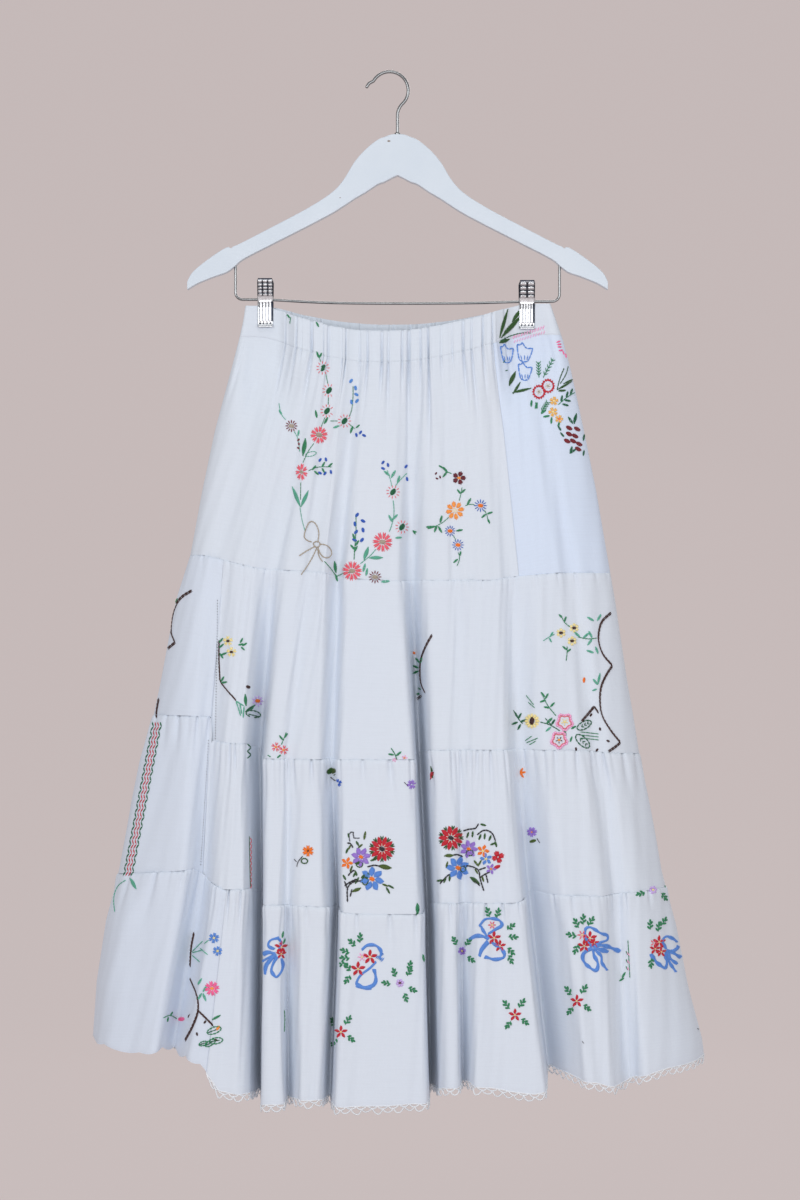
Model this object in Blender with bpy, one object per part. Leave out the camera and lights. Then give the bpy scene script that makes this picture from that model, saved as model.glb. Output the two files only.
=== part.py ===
"""A long tiered skirt of embroidered linens, hung by two clips on a wooden hanger.

Metres, +Z up, the front faces -Y. The origin is the inside of the hook's crown, where a
rail would bear. Round the skirt, t runs from 0 at the left side across the front to 1 at
the right side, and on across the back to 2. Down the skirt, s is 0 at the waist's top
edge, 1 at the casing's stitch line, 2, 3 and 4 at the three tier seams and 5 at the hem.
"""
import math
from collections import namedtuple

import bmesh
import bpy
from mathutils import Vector

for old in list(bpy.data.objects):
    bpy.data.objects.remove(old, do_unlink=True)

# Sizes of the cloth
CLOTH = 0.0016
CASING = 0.0026
CLAMPED = 0.0036
SEAM_GAP = 0.0003
COLUMNS = 144
SHARPEST = 0.6
WAIST_SAG_FRONT = 0.029
WAIST_SAG_BACK = 0.019
WAIST_LEFT = -0.2437
WAIST_RIGHT = -0.2416
CASING_DEPTH = 0.033

# Sizes of the hanger
MIDDLE = 0.0083
WOOD = 0.012
CLIP_LEFT = -0.1300
CLIP_RIGHT = 0.1437
HOOK_WIRE = 0.0017
BAR_WIRE = 0.0014
BAR_LEFT = -0.2370
BAR_RIGHT = -0.2390
BAR_SAG = 0.0030
UPRIGHT = 0.1697
BORE_GAP = 0.0004

# Outline of the flattened skirt from the front: height, left reach, right reach
OUTLINE = (
    (-0.2400, -0.1505, 0.1680),
    (-0.2600, -0.1535, 0.1748),
    (-0.2790, -0.1578, 0.1815),
    (-0.3110, -0.1661, 0.1900),
    (-0.3740, -0.1829, 0.2036),
    (-0.4360, -0.1960, 0.2162),
    (-0.5040, -0.2085, 0.2278),
    (-0.5520, -0.2238, 0.2361),
    (-0.6360, -0.2395, 0.2487),
    (-0.6720, -0.2470, 0.2550),
    (-0.7190, -0.2610, 0.2625),
    (-0.7610, -0.2699, 0.2707),
    (-0.8350, -0.2830, 0.2843),
    (-0.8870, -0.2968, 0.2979),
    (-0.9500, -0.3065, 0.3105),
    (-1.0100, -0.3105, 0.3255),
    (-1.0400, -0.3110, 0.3280),
)

# Half depth of the flattened skirt at each level s: front, back
DEPTHS = (
    (0.024, 0.018),
    (0.030, 0.024),
    (0.050, 0.046),
    (0.074, 0.068),
    (0.092, 0.084),
    (0.108, 0.100),
)

# Heights at stations round the skirt: t, seam 1, seam 2, seam 3, hem
HEIGHTS = (
    (0.000, -0.5045, -0.6710, -0.8380, -1.0060),
    (0.050, -0.5050, -0.6710, -0.8300, -1.0160),
    (0.080, -0.5080, -0.6715, -0.8265, -1.0110),
    (0.112, -0.5115, -0.6970, -0.8390, -1.0150),
    (0.145, -0.5150, -0.6984, -0.8464, -1.0210),
    (0.160, -0.5160, -0.6984, -0.8464, -1.0500),
    (0.195, -0.5190, -0.6990, -0.8464, -1.0520),
    (0.265, -0.5205, -0.7140, -0.8620, -1.0630),
    (0.360, -0.5230, -0.7146, -0.8626, -1.0560),
    (0.470, -0.5300, -0.7146, -0.8707, -1.0640),
    (0.530, -0.5320, -0.7146, -0.8707, -1.0580),
    (0.620, -0.5310, -0.7049, -0.8600, -1.0460),
    (0.690, -0.5310, -0.7049, -0.8596, -1.0400),
    (0.750, -0.5310, -0.7049, -0.8596, -1.0520),
    (0.820, -0.5270, -0.7049, -0.8510, -1.0310),
    (0.900, -0.5234, -0.7060, -0.8545, -1.0470),
    (1.000, -0.5234, -0.7120, -0.8497, -1.0250),
    (1.250, -0.5180, -0.7030, -0.8560, -1.0430),
    (1.500, -0.5150, -0.6980, -0.8560, -1.0520),
    (1.750, -0.5120, -0.6900, -0.8510, -1.0430),
    (2.000, -0.5045, -0.6710, -0.8380, -1.0060),
)

# Large folds: t, half the cloth in the fold (as t), gap to the left and right at the hem,
# lean of its bottom (a minus sign tucks it under the ridge on the left), then its place
# across and its depth at the casing, seam 1, seam 2, seam 3 and the hem
Fold = namedtuple("Fold", "name t cloth gap_left gap_right lean places deeps")
FOLDS = [Fold(*row) for row in (
    ("side_soft", 0.098, 0.030, 0.016, 0.014, 0.000,
     (-0.122, -0.172, -0.184, -0.192, -0.222), (0.002, 0.003, 0.010, 0.024, 0.036)),
    ("left_deep", 0.231, 0.044, 0.010, 0.007, 0.003,
     (-0.084, -0.122, -0.137, -0.135, -0.136), (0.002, 0.008, 0.042, 0.058, 0.066)),
    ("bow_edge", 0.325, 0.026, 0.005, 0.010, -0.002,
     (-0.058, -0.082, -0.102, -0.103, -0.101), (0.002, 0.004, 0.006, 0.014, 0.034)),
    ("left_middle", 0.410, 0.032, 0.008, 0.007, 0.002,
     (-0.034, -0.055, -0.061, -0.056, -0.063), (0.003, 0.014, 0.016, 0.046, 0.042)),
    ("centre_deep", 0.573, 0.048, 0.006, 0.008, -0.002,
     (0.024, 0.024, 0.033, 0.041, 0.045), (0.003, 0.020, 0.054, 0.064, 0.072)),
    ("narrow_edge", 0.672, 0.026, 0.005, 0.009, -0.002,
     (0.055, 0.069, 0.072, 0.076, 0.077), (0.002, 0.003, 0.004, 0.012, 0.034)),
    ("right_wide", 0.812, 0.042, 0.012, 0.024, -0.007,
     (0.104, 0.130, 0.136, 0.150, 0.171), (0.002, 0.007, 0.020, 0.044, 0.060)),
    ("right_soft", 0.925, 0.024, 0.014, 0.014, 0.000,
     (0.142, 0.187, 0.212, 0.232, 0.245), (0.002, 0.004, 0.007, 0.012, 0.022)),
    ("back_right", 1.100, 0.030, 0.014, 0.014, 0.000,
     (0.136, 0.178, 0.198, 0.214, 0.236), (0.002, 0.006, 0.014, 0.026, 0.040)),
    ("back_right_deep", 1.235, 0.042, 0.008, 0.009, 0.002,
     (0.094, 0.116, 0.128, 0.140, 0.150), (0.002, 0.010, 0.036, 0.050, 0.060)),
    ("back_right_middle", 1.375, 0.034, 0.009, 0.008, -0.002,
     (0.050, 0.062, 0.066, 0.072, 0.078), (0.002, 0.008, 0.024, 0.038, 0.046)),
    ("back_middle", 1.510, 0.046, 0.008, 0.008, 0.002,
     (0.006, 0.008, 0.010, 0.006, 0.002), (0.003, 0.014, 0.044, 0.058, 0.068)),
    ("back_left_middle", 1.645, 0.034, 0.009, 0.009, 0.000,
     (-0.038, -0.050, -0.058, -0.066, -0.074), (0.002, 0.008, 0.022, 0.036, 0.046)),
    ("back_left_deep", 1.780, 0.042, 0.008, 0.009, -0.002,
     (-0.080, -0.108, -0.124, -0.134, -0.146), (0.002, 0.010, 0.034, 0.050, 0.060)),
    ("back_left", 1.905, 0.028, 0.014, 0.014, 0.000,
     (-0.120, -0.166, -0.188, -0.204, -0.226), (0.002, 0.006, 0.012, 0.026, 0.038)),
)]
FOLD_STARTS = 0.6
FOLD_SPREAD = 1.25

# Panels: name, tier, t at its left and right edge as seen from its own face
PANELS = (
    ("waistband_front", 0, 0.000, 1.000),
    ("waistband_back", 0, 1.000, 2.000),
    ("tier_1_front", 1, 0.000, 0.825),
    ("tier_1_patch", 1, 0.825, 1.130),
    ("tier_1_back", 1, 1.130, 2.000),
    ("tier_2_left", 2, 0.000, 0.098),
    ("tier_2_front", 2, 0.098, 1.000),
    ("tier_2_back", 2, 1.000, 2.000),
    ("tier_3_left", 3, 0.000, 0.098),
    ("tier_3_front", 3, 0.098, 1.000),
    ("tier_3_back", 3, 1.000, 2.000),
    ("tier_4_left", 4, 0.000, 0.150),
    ("tier_4_front", 4, 0.150, 1.000),
    ("tier_4_back", 4, 1.000, 2.000),
)
PATCH_EDGE = 0.150

# The flattened tube from above: how square its ends are, and the room kept in its middle
SQUARENESS = 3.4
ROOM = 0.014

# Reach of a clip's pinch across, its fade across, where it starts to fade down, and how far
CLIP_REACH = 0.011
PINCH_FADE = 0.030
PINCH_DOWN = 0.036
PINCH_DROP = 0.110

# Rows of points down a tier, as shares of its height
TIER_ROWS = (
    (0.0, 1.0),
    (0.0, 0.07, 0.40, 1.0),
    (0.0, 0.09, 0.45, 1.0),
    (0.0, 0.10, 0.50, 1.0),
    (0.0, 0.08, 0.45, 1.0),
)

# Gathers below a seam: height of the waves, and how far down they fade out
GATHER = (0.0010, 0.0026, 0.0030, 0.0034, 0.0040)
GATHER_FADE = (1.0, 0.10, 0.075, 0.080, 0.090)
GATHER_RISE = 0.012
GATHER_CALM = 0.030

# Lace: depth of its rail, of a loop below the rail, the strand's width, and half the width
# of the rail's joint between two loops, as a share of a loop
LACE_RAIL = 0.0030
LACE_LOOP = 0.0100
LACE_STRAND = 0.0024
LACE_POST = 0.12

COLOURS = {
    "linen": ((0.70, 0.74, 0.78, 1.0), 0.85, 0.0),
    "lace": ((0.74, 0.74, 0.72, 1.0), 0.80, 0.0),
    "wood": ((0.74, 0.77, 0.80, 1.0), 0.35, 0.0),
    "chrome": ((0.60, 0.60, 0.60, 1.0), 0.12, 1.0),
}


def material(name):
    """A Principled material from the table of colours."""
    found = bpy.data.materials.get(name)
    if found:
        return found
    colour, roughness, metallic = COLOURS[name]
    made = bpy.data.materials.new(name)
    made.use_nodes = True
    shader = made.node_tree.nodes["Principled BSDF"]
    shader.inputs["Base Color"].default_value = colour
    shader.inputs["Roughness"].default_value = roughness
    shader.inputs["Metallic"].default_value = metallic
    made.diffuse_color = colour
    return made


def mix(a, b, share):
    return a + (b - a) * share


def smooth(x):
    """0 below 0, 1 above 1 and an S curve between them."""
    x = min(max(x, 0.0), 1.0)
    return x * x * (3.0 - 2.0 * x)


def between_rows(rows, x, column, key=0):
    """A smoothed value from a table whose key column rises or falls."""
    rising = rows[-1][key] > rows[0][key]
    for low, high in zip(rows, rows[1:]):
        if (x <= high[key]) == rising or high is rows[-1]:
            share = (x - low[key]) / (high[key] - low[key])
            return mix(low[column], high[column], min(max(share, 0.0), 1.0))
    return rows[-1][column]


def by_level(values, s):
    """A value between levels 1 and 5 of a fold, or 0 and 5 of the depths."""
    first = 6 - len(values)
    place = min(max(s - first, 0.0), len(values) - 1.0)
    step = min(int(place), len(values) - 2)
    return mix(values[step], values[step + 1], place - step)


def waist_height(t):
    """The waist's top edge sags between the two clips."""
    if t <= 1.0:
        x = mix(OUTLINE[0][1], OUTLINE[0][2], t)
        sag = WAIST_SAG_FRONT
    else:
        x = mix(OUTLINE[0][2], OUTLINE[0][1], t - 1.0)
        sag = WAIST_SAG_BACK
    half = (CLIP_RIGHT - CLIP_LEFT) / 2.0
    across = (x - (CLIP_RIGHT + CLIP_LEFT) / 2.0) / half
    level = mix(WAIST_LEFT, WAIST_RIGHT, smooth((across + 1.0) / 2.0))
    return level - sag * max(1.0 - across * across, 0.0) ** 1.2


def height(t, s):
    """Height of a point, between the levels at its station round the skirt."""
    top = waist_height(t)
    levels = [top, top - CASING_DEPTH]
    levels += [between_rows(HEIGHTS, t, column) for column in range(1, 5)]
    if s >= 5.0:
        return levels[5]
    step = min(int(s), 4)
    return mix(levels[step], levels[step + 1], s - step)


def hermite(knots, t):
    """A smooth curve through (t, value) knots that never turns back, level at both ends."""
    last = len(knots) - 1
    step = 0
    while step < last - 1 and t > knots[step + 1][0]:
        step += 1
    rates = []
    for (t_low, low), (t_high, high) in zip(knots, knots[1:]):
        rates.append((high - low) / (t_high - t_low))
    slopes = []
    for at in (step, step + 1):
        if at in (0, last) or rates[at - 1] * rates[at] <= 0.0:
            slopes.append(0.0)
        else:
            slopes.append(2.0 * rates[at - 1] * rates[at] / (rates[at - 1] + rates[at]))
    width = knots[step + 1][0] - knots[step][0]
    u = min(max((t - knots[step][0]) / width, 0.0), 1.0)
    start = (1.0 + 2.0 * u) * (1.0 - u) ** 2 * knots[step][1]
    end = u * u * (3.0 - 2.0 * u) * knots[step + 1][1]
    turn = width * (u * (1.0 - u) ** 2 * slopes[0] - u * u * (1.0 - u) * slopes[1])
    return start + end + turn


def fold_knots(s, back):
    """Places across of the folds of one side: left shoulder, bottom, right shoulder."""
    edge = 1.0 if back else 0.0
    left_z = height(2.0 if back else 0.0, s)
    right_z = height(1.0, s)
    left = between_rows(OUTLINE, left_z, 1)
    right = between_rows(OUTLINE, right_z, 2)
    knots = [(edge, right if back else left)]
    turn = -1.0 if back else 1.0
    for fold in FOLDS:
        if (fold.t > 1.0) != back:
            continue
        drawn = math.sqrt(by_level(fold.deeps, s) / max(fold.deeps))
        drawn = drawn * smooth((s - FOLD_STARTS) / (2.0 - FOLD_STARTS))
        even = fold.cloth * (right - left)
        place = by_level(fold.places, s)
        gaps = (fold.gap_right, fold.gap_left) if back else (fold.gap_left, fold.gap_right)
        knots.append((fold.t - fold.cloth, place - turn * mix(even, gaps[0], drawn)))
        knots.append((fold.t, place + fold.lean * drawn))
        knots.append((fold.t + fold.cloth, place + turn * mix(even, gaps[1], drawn)))
    knots.append((edge + 1.0, left if back else right))
    return knots


def valley(t, s):
    """How deep the folds draw the cloth in at t."""
    total = 0.0
    for fold in FOLDS:
        away = abs(t - fold.t) / (fold.cloth * FOLD_SPREAD)
        if away < 1.0:
            total += by_level(fold.deeps, s) * math.cos(away * math.pi / 2.0) ** 2
    return total


def pinch(x, z):
    """The clips press the front and the back of the waist together."""
    near = 0.0
    for clip in (CLIP_LEFT, CLIP_RIGHT):
        near = max(near, 1.0 - smooth((abs(x - clip) - CLIP_REACH) / PINCH_FADE))
    return near * (1.0 - smooth((WAIST_LEFT - PINCH_DOWN - z) / PINCH_DROP))


def wave(column):
    """The gathers: one wave for each four columns, of uneven height."""
    uneven = 0.70 + 0.30 * math.sin(column * 0.83) * math.cos(column * 0.31 + 1.0)
    return math.sin(column * math.pi / 2.0) * uneven


def gathers(t, s, column):
    """How far the gathers of a tier stand out at a point."""
    tier = min(int(s), 4)
    if tier == 0:
        return GATHER[0] * wave(column)
    drop = height(t, tier) - height(t, s)
    rise = smooth(drop / GATHER_RISE)
    fade = 1.0 - smooth(drop / GATHER_FADE[tier])
    calm = 1.0 - 0.75 * min(valley(t, s) / GATHER_CALM, 1.0)
    return GATHER[tier] * wave(column) * rise * fade * calm


def surface(t, s, column=None):
    """A point of the cloth's outer face."""
    back = t > 1.0
    z = height(t, s)
    knots = fold_knots(s, back)
    x = hermite(knots, t)
    left, right = sorted((knots[0][1], knots[-1][1]))
    across = (x - (left + right) / 2.0) / ((right - left) / 2.0)
    bulge = math.sqrt(max(1.0 - abs(across) ** SQUARENESS, 0.0))
    deep = by_level([row[1 if back else 0] for row in DEPTHS], s)
    y = deep * bulge - min(valley(t, s), max(deep * bulge - ROOM, 0.0))
    y = mix(y, min(CLAMPED, y), pinch(x, z))
    if column is not None:
        ease = smooth(y / GATHER_RISE) if s > 1.0 else smooth((y - 0.0042) / 0.008)
        y += gathers(t, s, column) * ease
    return Vector((x, y if back else -y, z))


def columns_by_length(count):
    """Values of t that stand evenly along the hem, with the panels' edges among them."""
    fine = 3000
    points = [surface(2.0 * i / fine, 4.8) for i in range(fine + 1)]
    waist = [surface(2.0 * i / fine, 1.0) for i in range(fine + 1)]
    lengths = [0.0]
    for i in range(fine):
        hem_step = (points[i + 1] - points[i]).length
        waist_step = (waist[i + 1] - waist[i]).length
        lengths.append(lengths[-1] + hem_step + 1.2 * waist_step)
    found = []
    i = 0
    for k in range(count + 1):
        want = lengths[-1] * k / count
        while i < fine - 1 and lengths[i + 1] < want:
            i += 1
        share = (want - lengths[i]) / (lengths[i + 1] - lengths[i])
        found.append(2.0 * (i + share) / fine)
    for fixed in [fold.t for fold in FOLDS] + [edge for row in PANELS for edge in row[2:]]:
        nearest = min(range(count + 1), key=lambda k: abs(found[k] - fixed))
        found[nearest] = fixed
    return found


STATIONS = columns_by_length(COLUMNS)


def add_object(name, bm, finish, flat=False):
    """An object from a bmesh, with its material."""
    mesh = bpy.data.meshes.new(name)
    bmesh.ops.recalc_face_normals(bm, faces=bm.faces)
    bm.to_mesh(mesh)
    bm.free()
    mesh.materials.append(material(finish))
    made = bpy.data.objects.new(name, mesh)
    bpy.context.scene.collection.objects.link(made)
    if not flat:
        mesh.shade_smooth()
        mesh.set_sharp_from_angle(angle=math.radians(40.0))
    return made


def panel_columns(start, end):
    """The columns of one panel, as numbers in the list of stations."""
    return [k for k, t in enumerate(STATIONS) if start <= t <= end]


def cloth_point(column, tier, share):
    """A point of a tier's outer face, with the gaps to the tiers above and below."""
    gathered = 0.0 < share < 1.0 or tier == 0 or (share == 0.0 and tier == 1)
    t = STATIONS[column]
    point = surface(t, min(tier + share, tier + 0.9999), column if gathered else None)
    if share == 0.0 and tier > 0:
        point.z -= SEAM_GAP / 2.0
    if share == 1.0:
        point.z += SEAM_GAP / 2.0
    return point


def panel_point(columns, index, tier, share):
    """A point of one panel: its side edges stand half a gap inside their stations."""
    point = cloth_point(columns[index], tier, share)
    if index in (0, len(columns) - 1):
        beside = cloth_point(columns[1 if index == 0 else -2], tier, share)
        point += (beside - point).normalized() * SEAM_GAP / 2.0
    return point


def inward(column, tier, share, thick):
    """The level step from the outer to the inner face, square to the chords beside it."""
    count = len(STATIONS) - 1
    near = [cloth_point(k % count, tier, share) for k in (column - 1, column, column + 1)]
    into = (near[1] - near[0]).to_2d().normalized()
    out = (near[2] - near[1]).to_2d().normalized()
    along = (into + out).normalized()
    square = max(along.dot(out), SHARPEST)
    return Vector((-along.y, along.x, 0.0)) * (thick / square)


def cloth_panel(name, tier, start, end):
    """A wall of cloth: a grid laid on the outer face, drawn inwards by its thickness."""
    rows = TIER_ROWS[tier]
    columns = panel_columns(start, end)
    thick = CASING if tier == 0 else CLOTH
    bm = bmesh.new()
    bmesh.ops.create_grid(bm, x_segments=len(columns) - 1, y_segments=len(rows) - 1, size=1.0)
    steps = {}
    outer = {}
    for vert in bm.verts:
        index = round((vert.co.x + 1.0) / 2.0 * (len(columns) - 1))
        share = rows[round((vert.co.y + 1.0) / 2.0 * (len(rows) - 1))]
        vert.co = panel_point(columns, index, tier, share)
        outer[vert] = (index, share)
        steps[tuple(vert.co)] = (inward(columns[index], tier, share, thick), outer[vert])
    bmesh.ops.triangulate(bm, faces=bm.faces, quad_method="FIXED")
    result = bmesh.ops.extrude_face_region(bm, geom=list(bm.faces), use_keep_orig=True)
    inner = {}
    for item in result["geom"]:
        if isinstance(item, bmesh.types.BMVert):
            step, inner[item] = steps[tuple(item.co)]
            item.co += step
    for face in [face for face in bm.faces if len(face.verts) == 4]:
        first = min((vert for vert in face.verts if vert in outer), key=outer.get)
        last = max((vert for vert in face.verts if vert in inner), key=inner.get)
        bmesh.utils.face_split(face, first, last)
    return add_object(name, bm, "linen")


def lace(name, start, end):
    """Crocheted edging: a rail under the hem, and a pointed loop for each column."""
    columns = panel_columns(start, end)
    bm = bmesh.new()

    def corner(index, drop, aside=None, share=0.0):
        """An outer and an inner point, aside from a column towards its neighbour."""
        point = panel_point(columns, index, 4, 1.0)
        step = inward(columns[index], 4, 1.0, CLOTH)
        if aside is not None:
            point = point.lerp(panel_point(columns, aside, 4, 1.0), share)
            step = step.lerp(inward(columns[aside], 4, 1.0, CLOTH), share)
        point.z -= drop + SEAM_GAP
        return bm.verts.new(point), bm.verts.new(point + step)

    def wall(*corners):
        """One flat stretch of the front and back faces."""
        bm.faces.new([corner[0] for corner in corners])
        bm.faces.new([corner[1] for corner in reversed(corners)])

    def rim(a, b):
        bm.faces.new([a[0], b[0], b[1], a[1]])

    posts = []
    last = len(columns) - 1
    for k in range(len(columns)):
        top = corner(k, 0.0)
        left = corner(k, LACE_RAIL, k - 1, LACE_POST) if k > 0 else None
        right = corner(k, LACE_RAIL, k + 1, LACE_POST) if k < last else None
        foot = corner(k, LACE_RAIL + LACE_STRAND)
        posts.append((top, left, right, foot))
    for k in range(len(posts) - 1):
        top_a, left_a, right_a, foot_a = posts[k]
        top_b, left_b, right_b, foot_b = posts[k + 1]
        inner = corner(k, LACE_RAIL + LACE_LOOP - LACE_STRAND, k + 1, 0.5)
        tip = corner(k, LACE_RAIL + LACE_LOOP, k + 1, 0.5)
        wall(top_a, right_a, left_b, top_b)
        wall(right_a, foot_a, tip, inner)
        wall(inner, tip, foot_b, left_b)
        rim(right_a, left_b)
        rim(inner, right_a)
        rim(left_b, inner)
        rim(foot_a, tip)
        rim(tip, foot_b)
        bm.faces.new((top_b[0], top_a[0], top_b[1]))
        bm.faces.new((top_a[0], top_a[1], top_b[1]))
    for k, (top, left, right, foot) in enumerate(posts):
        if left and right:
            wall(top, left, right)
            wall(left, foot, right)
        elif right:
            wall(top, foot, right)
            rim(top, foot)
        else:
            wall(top, left, foot)
            rim(foot, top)
    return add_object(name, bm, "lace", flat=True)


# The hanger's arm from its middle outwards: distance, top height, underside height
ARM = (
    (0.0000, -0.0645, -0.1075),
    (0.0065, -0.0648, -0.1105),
    (0.0140, -0.0675, -0.1145),
    (0.0210, -0.0705, -0.1170),
    (0.0330, -0.0800, -0.1250),
    (0.0450, -0.0935, -0.1320),
    (0.0570, -0.1130, -0.1400),
    (0.0700, -0.1265, -0.1480),
    (0.0950, -0.1425, -0.1612),
    (0.1320, -0.1620, -0.1800),
    (0.1610, -0.1770, -0.1950),
    (0.1660, -0.1800, -0.1980),
    (0.1790, -0.1830, -0.2090),
    (0.1920, -0.1910, -0.2135),
    (0.2080, -0.2030, -0.2200),
    (0.2160, -0.2110, -0.2245),
    (0.2200, -0.2190, -0.2270),
)
NOTCH = ((0.1735, -0.1855), (0.1750, -0.1850))
ROUNDING = 0.0028
BORE_SIDES = 12
HOOK_BORE = 0.044
BAR_BORE = 0.030
HOOK_BEND = 0.0195
BAR_BEND = 0.0075
BAR_END = -0.1930
BAR_STRAIGHT = -0.2150


def hanger_body():
    """A flat board with a notch on each arm, its edges rounded, bored for the wires."""
    top = sorted([(d, upper) for d, upper, under in ARM] + list(NOTCH))
    under = [(d, lower) for d, upper, lower in ARM]
    loop = [(-d, z) for d, z in reversed(top[1:])] + top
    loop += list(reversed(under)) + [(-d, z) for d, z in under[1:]]
    bm = bmesh.new()
    verts = [bm.verts.new((MIDDLE + d, -WOOD / 2.0, z)) for d, z in loop]
    face = bm.faces.new(verts)
    result = bmesh.ops.extrude_face_region(bm, geom=[face], use_keep_orig=True)
    raised = [item for item in result["geom"] if isinstance(item, bmesh.types.BMVert)]
    bmesh.ops.translate(bm, verts=raised, vec=(0.0, WOOD, 0.0))
    made = add_object("hanger_body", bm, "wood")
    rounding = made.modifiers.new("rounding", "BEVEL")
    rounding.width = ROUNDING
    rounding.segments = 1
    rounding.limit_method = "ANGLE"
    rounding.angle_limit = math.radians(60.0)
    for x, z, length, radius in (
        (MIDDLE, ARM[0][1], HOOK_BORE, HOOK_WIRE),
        (MIDDLE - UPRIGHT, -0.205, BAR_BORE, BAR_WIRE),
        (MIDDLE + UPRIGHT, -0.205, BAR_BORE, BAR_WIRE),
    ):
        wide = radius + BORE_GAP
        bored = bmesh.new()
        bmesh.ops.create_cone(bored, cap_ends=True, segments=BORE_SIDES, radius1=wide,
                              radius2=wide, depth=length)
        bmesh.ops.translate(bored, verts=bored.verts, vec=(x, 0.0, z))
        cutter = add_object("bore", bored, "wood")
        cutter.hide_render = True
        cutter.display_type = "WIRE"
        cut = made.modifiers.new("bore", "BOOLEAN")
        cut.object = cutter
        cut.operation = "DIFFERENCE"
        cut.solver = "EXACT"
    return made


def wire(name, route, radius, finish):
    """A round wire along a list of points."""
    line = bpy.data.curves.new(name, "CURVE")
    line.dimensions = "3D"
    line.bevel_depth = radius
    line.bevel_resolution = 2
    line.use_fill_caps = True
    spline = line.splines.new("POLY")
    spline.points.add(len(route) - 1)
    for point, place in zip(spline.points, route):
        point.co = (*place, 1.0)
    made = bpy.data.objects.new(name, line)
    line.materials.append(material(finish))
    bpy.context.scene.collection.objects.link(made)
    return made


def arc(centre_x, centre_z, radius, start, end, count):
    """Points on an arc in the hanger's plane, by angle in degrees from +X."""
    points = []
    for k in range(count):
        turn = math.radians(mix(start, end, k / (count - 1)))
        points.append((centre_x + radius * math.cos(turn), 0.0, centre_z + radius * math.sin(turn)))
    return points


def hanger_hook():
    """The hook: its tip, an arc over the rail, a reverse bend and the stem."""
    over = arc(0.0, HOOK_WIRE - HOOK_BEND, HOOK_BEND, 154.0, -38.0, 15)
    tip = (-0.0244, 0.0, -0.0155)
    tip_end = (-0.0222, 0.0, -0.0118)
    sweep = [(0.0112, 0.0, -0.0345), (0.0088, 0.0, -0.0400), (0.0083, 0.0, -0.0460)]
    stem = [(MIDDLE, 0.0, -0.0560), (MIDDLE, 0.0, -0.0830)]
    return wire("hanger_hook", [tip, tip_end] + over + sweep + stem, HOOK_WIRE, "chrome")


def hanger_bar():
    """The bar: bent up at both ends into the arms, sagging a little between the clips."""
    left = MIDDLE - UPRIGHT
    right = MIDDLE + UPRIGHT
    low = (BAR_LEFT + BAR_RIGHT) / 2.0 - BAR_SAG
    route = [(left, 0.0, BAR_END), (left, 0.0, BAR_STRAIGHT)]
    route += arc(left + BAR_BEND, BAR_LEFT + BAR_BEND, BAR_BEND, 180.0, 270.0, 5)
    route += [(CLIP_LEFT, 0.0, BAR_LEFT), (MIDDLE - 0.05, 0.0, low), (MIDDLE + 0.05, 0.0, low)]
    route += [(CLIP_RIGHT, 0.0, BAR_RIGHT)]
    route += arc(right - BAR_BEND, BAR_RIGHT + BAR_BEND, BAR_BEND, 270.0, 360.0, 5)
    route += [(right, 0.0, BAR_STRAIGHT), (right, 0.0, BAR_END)]
    return wire("hanger_bar", route, BAR_WIRE, "chrome")


# A clip's plate from its top down: height above the bar, distance from the cloth's middle
CLIP_PLATE = (
    (0.0212, 0.0125),
    (0.0178, 0.0118),
    (0.0070, 0.0082),
    (0.0000, 0.0062),
    (-0.0085, 0.0048),
    (-0.0262, 0.0048),
    (-0.0288, 0.0076),
)
CLIP_WIDTH = 0.0165
CLIP_METAL = 0.0009
EAR_REACH = 0.0058
EAR_HEIGHT = 0.0044


def clip_plate(name, middle, bar_height, side):
    """A stamped plate, pressed out at its top and lip, with two ears that ride the bar."""
    bm = bmesh.new()
    bmesh.ops.create_grid(bm, x_segments=2, y_segments=len(CLIP_PLATE) - 1, size=1.0)
    for vert in bm.verts:
        j = round((1.0 - vert.co.y) / 2.0 * (len(CLIP_PLATE) - 1))
        z, away = CLIP_PLATE[j]
        vert.co = Vector((middle + vert.co.x * CLIP_WIDTH / 2.0, side * away, bar_height + z))
    result = bmesh.ops.extrude_face_region(bm, geom=list(bm.faces), use_keep_orig=True)
    raised = [item for item in result["geom"] if isinstance(item, bmesh.types.BMVert)]
    bmesh.ops.translate(bm, verts=raised, vec=(0.0, -side * CLIP_METAL, 0.0))
    made = add_object(name, bm, "chrome", flat=True)
    for edge in (-1.0, 1.0):
        ear = bmesh.new()
        bmesh.ops.create_cube(ear, size=1.0)
        inner = BAR_WIRE + SEAM_GAP
        size = (CLIP_METAL, EAR_REACH - inner, EAR_HEIGHT)
        across = middle + edge * (CLIP_WIDTH - CLIP_METAL) / 2.0
        place = (across, side * (EAR_REACH + inner) / 2.0, bar_height)
        bmesh.ops.scale(ear, verts=ear.verts, vec=size)
        bmesh.ops.translate(ear, verts=ear.verts, vec=place)
        piece = add_object("ear", ear, "chrome", flat=True)
        piece.hide_render = True
        piece.display_type = "WIRE"
        join = made.modifiers.new("ear", "BOOLEAN")
        join.object = piece
        join.operation = "UNION"
        join.solver = "EXACT"
    return made


for panel_name, panel_tier, panel_start, panel_end in PANELS:
    cloth_panel(panel_name, panel_tier, panel_start, panel_end)
lace("lace_front", PATCH_EDGE, 1.0)
lace("lace_back", 1.0, 2.0)
hanger_body()
hanger_hook()
hanger_bar()
clip_plate("clip_left_front", CLIP_LEFT, BAR_LEFT, -1.0)
clip_plate("clip_left_back", CLIP_LEFT, BAR_LEFT, 1.0)
clip_plate("clip_right_front", CLIP_RIGHT, BAR_RIGHT, -1.0)
clip_plate("clip_right_back", CLIP_RIGHT, BAR_RIGHT, 1.0)
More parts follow.
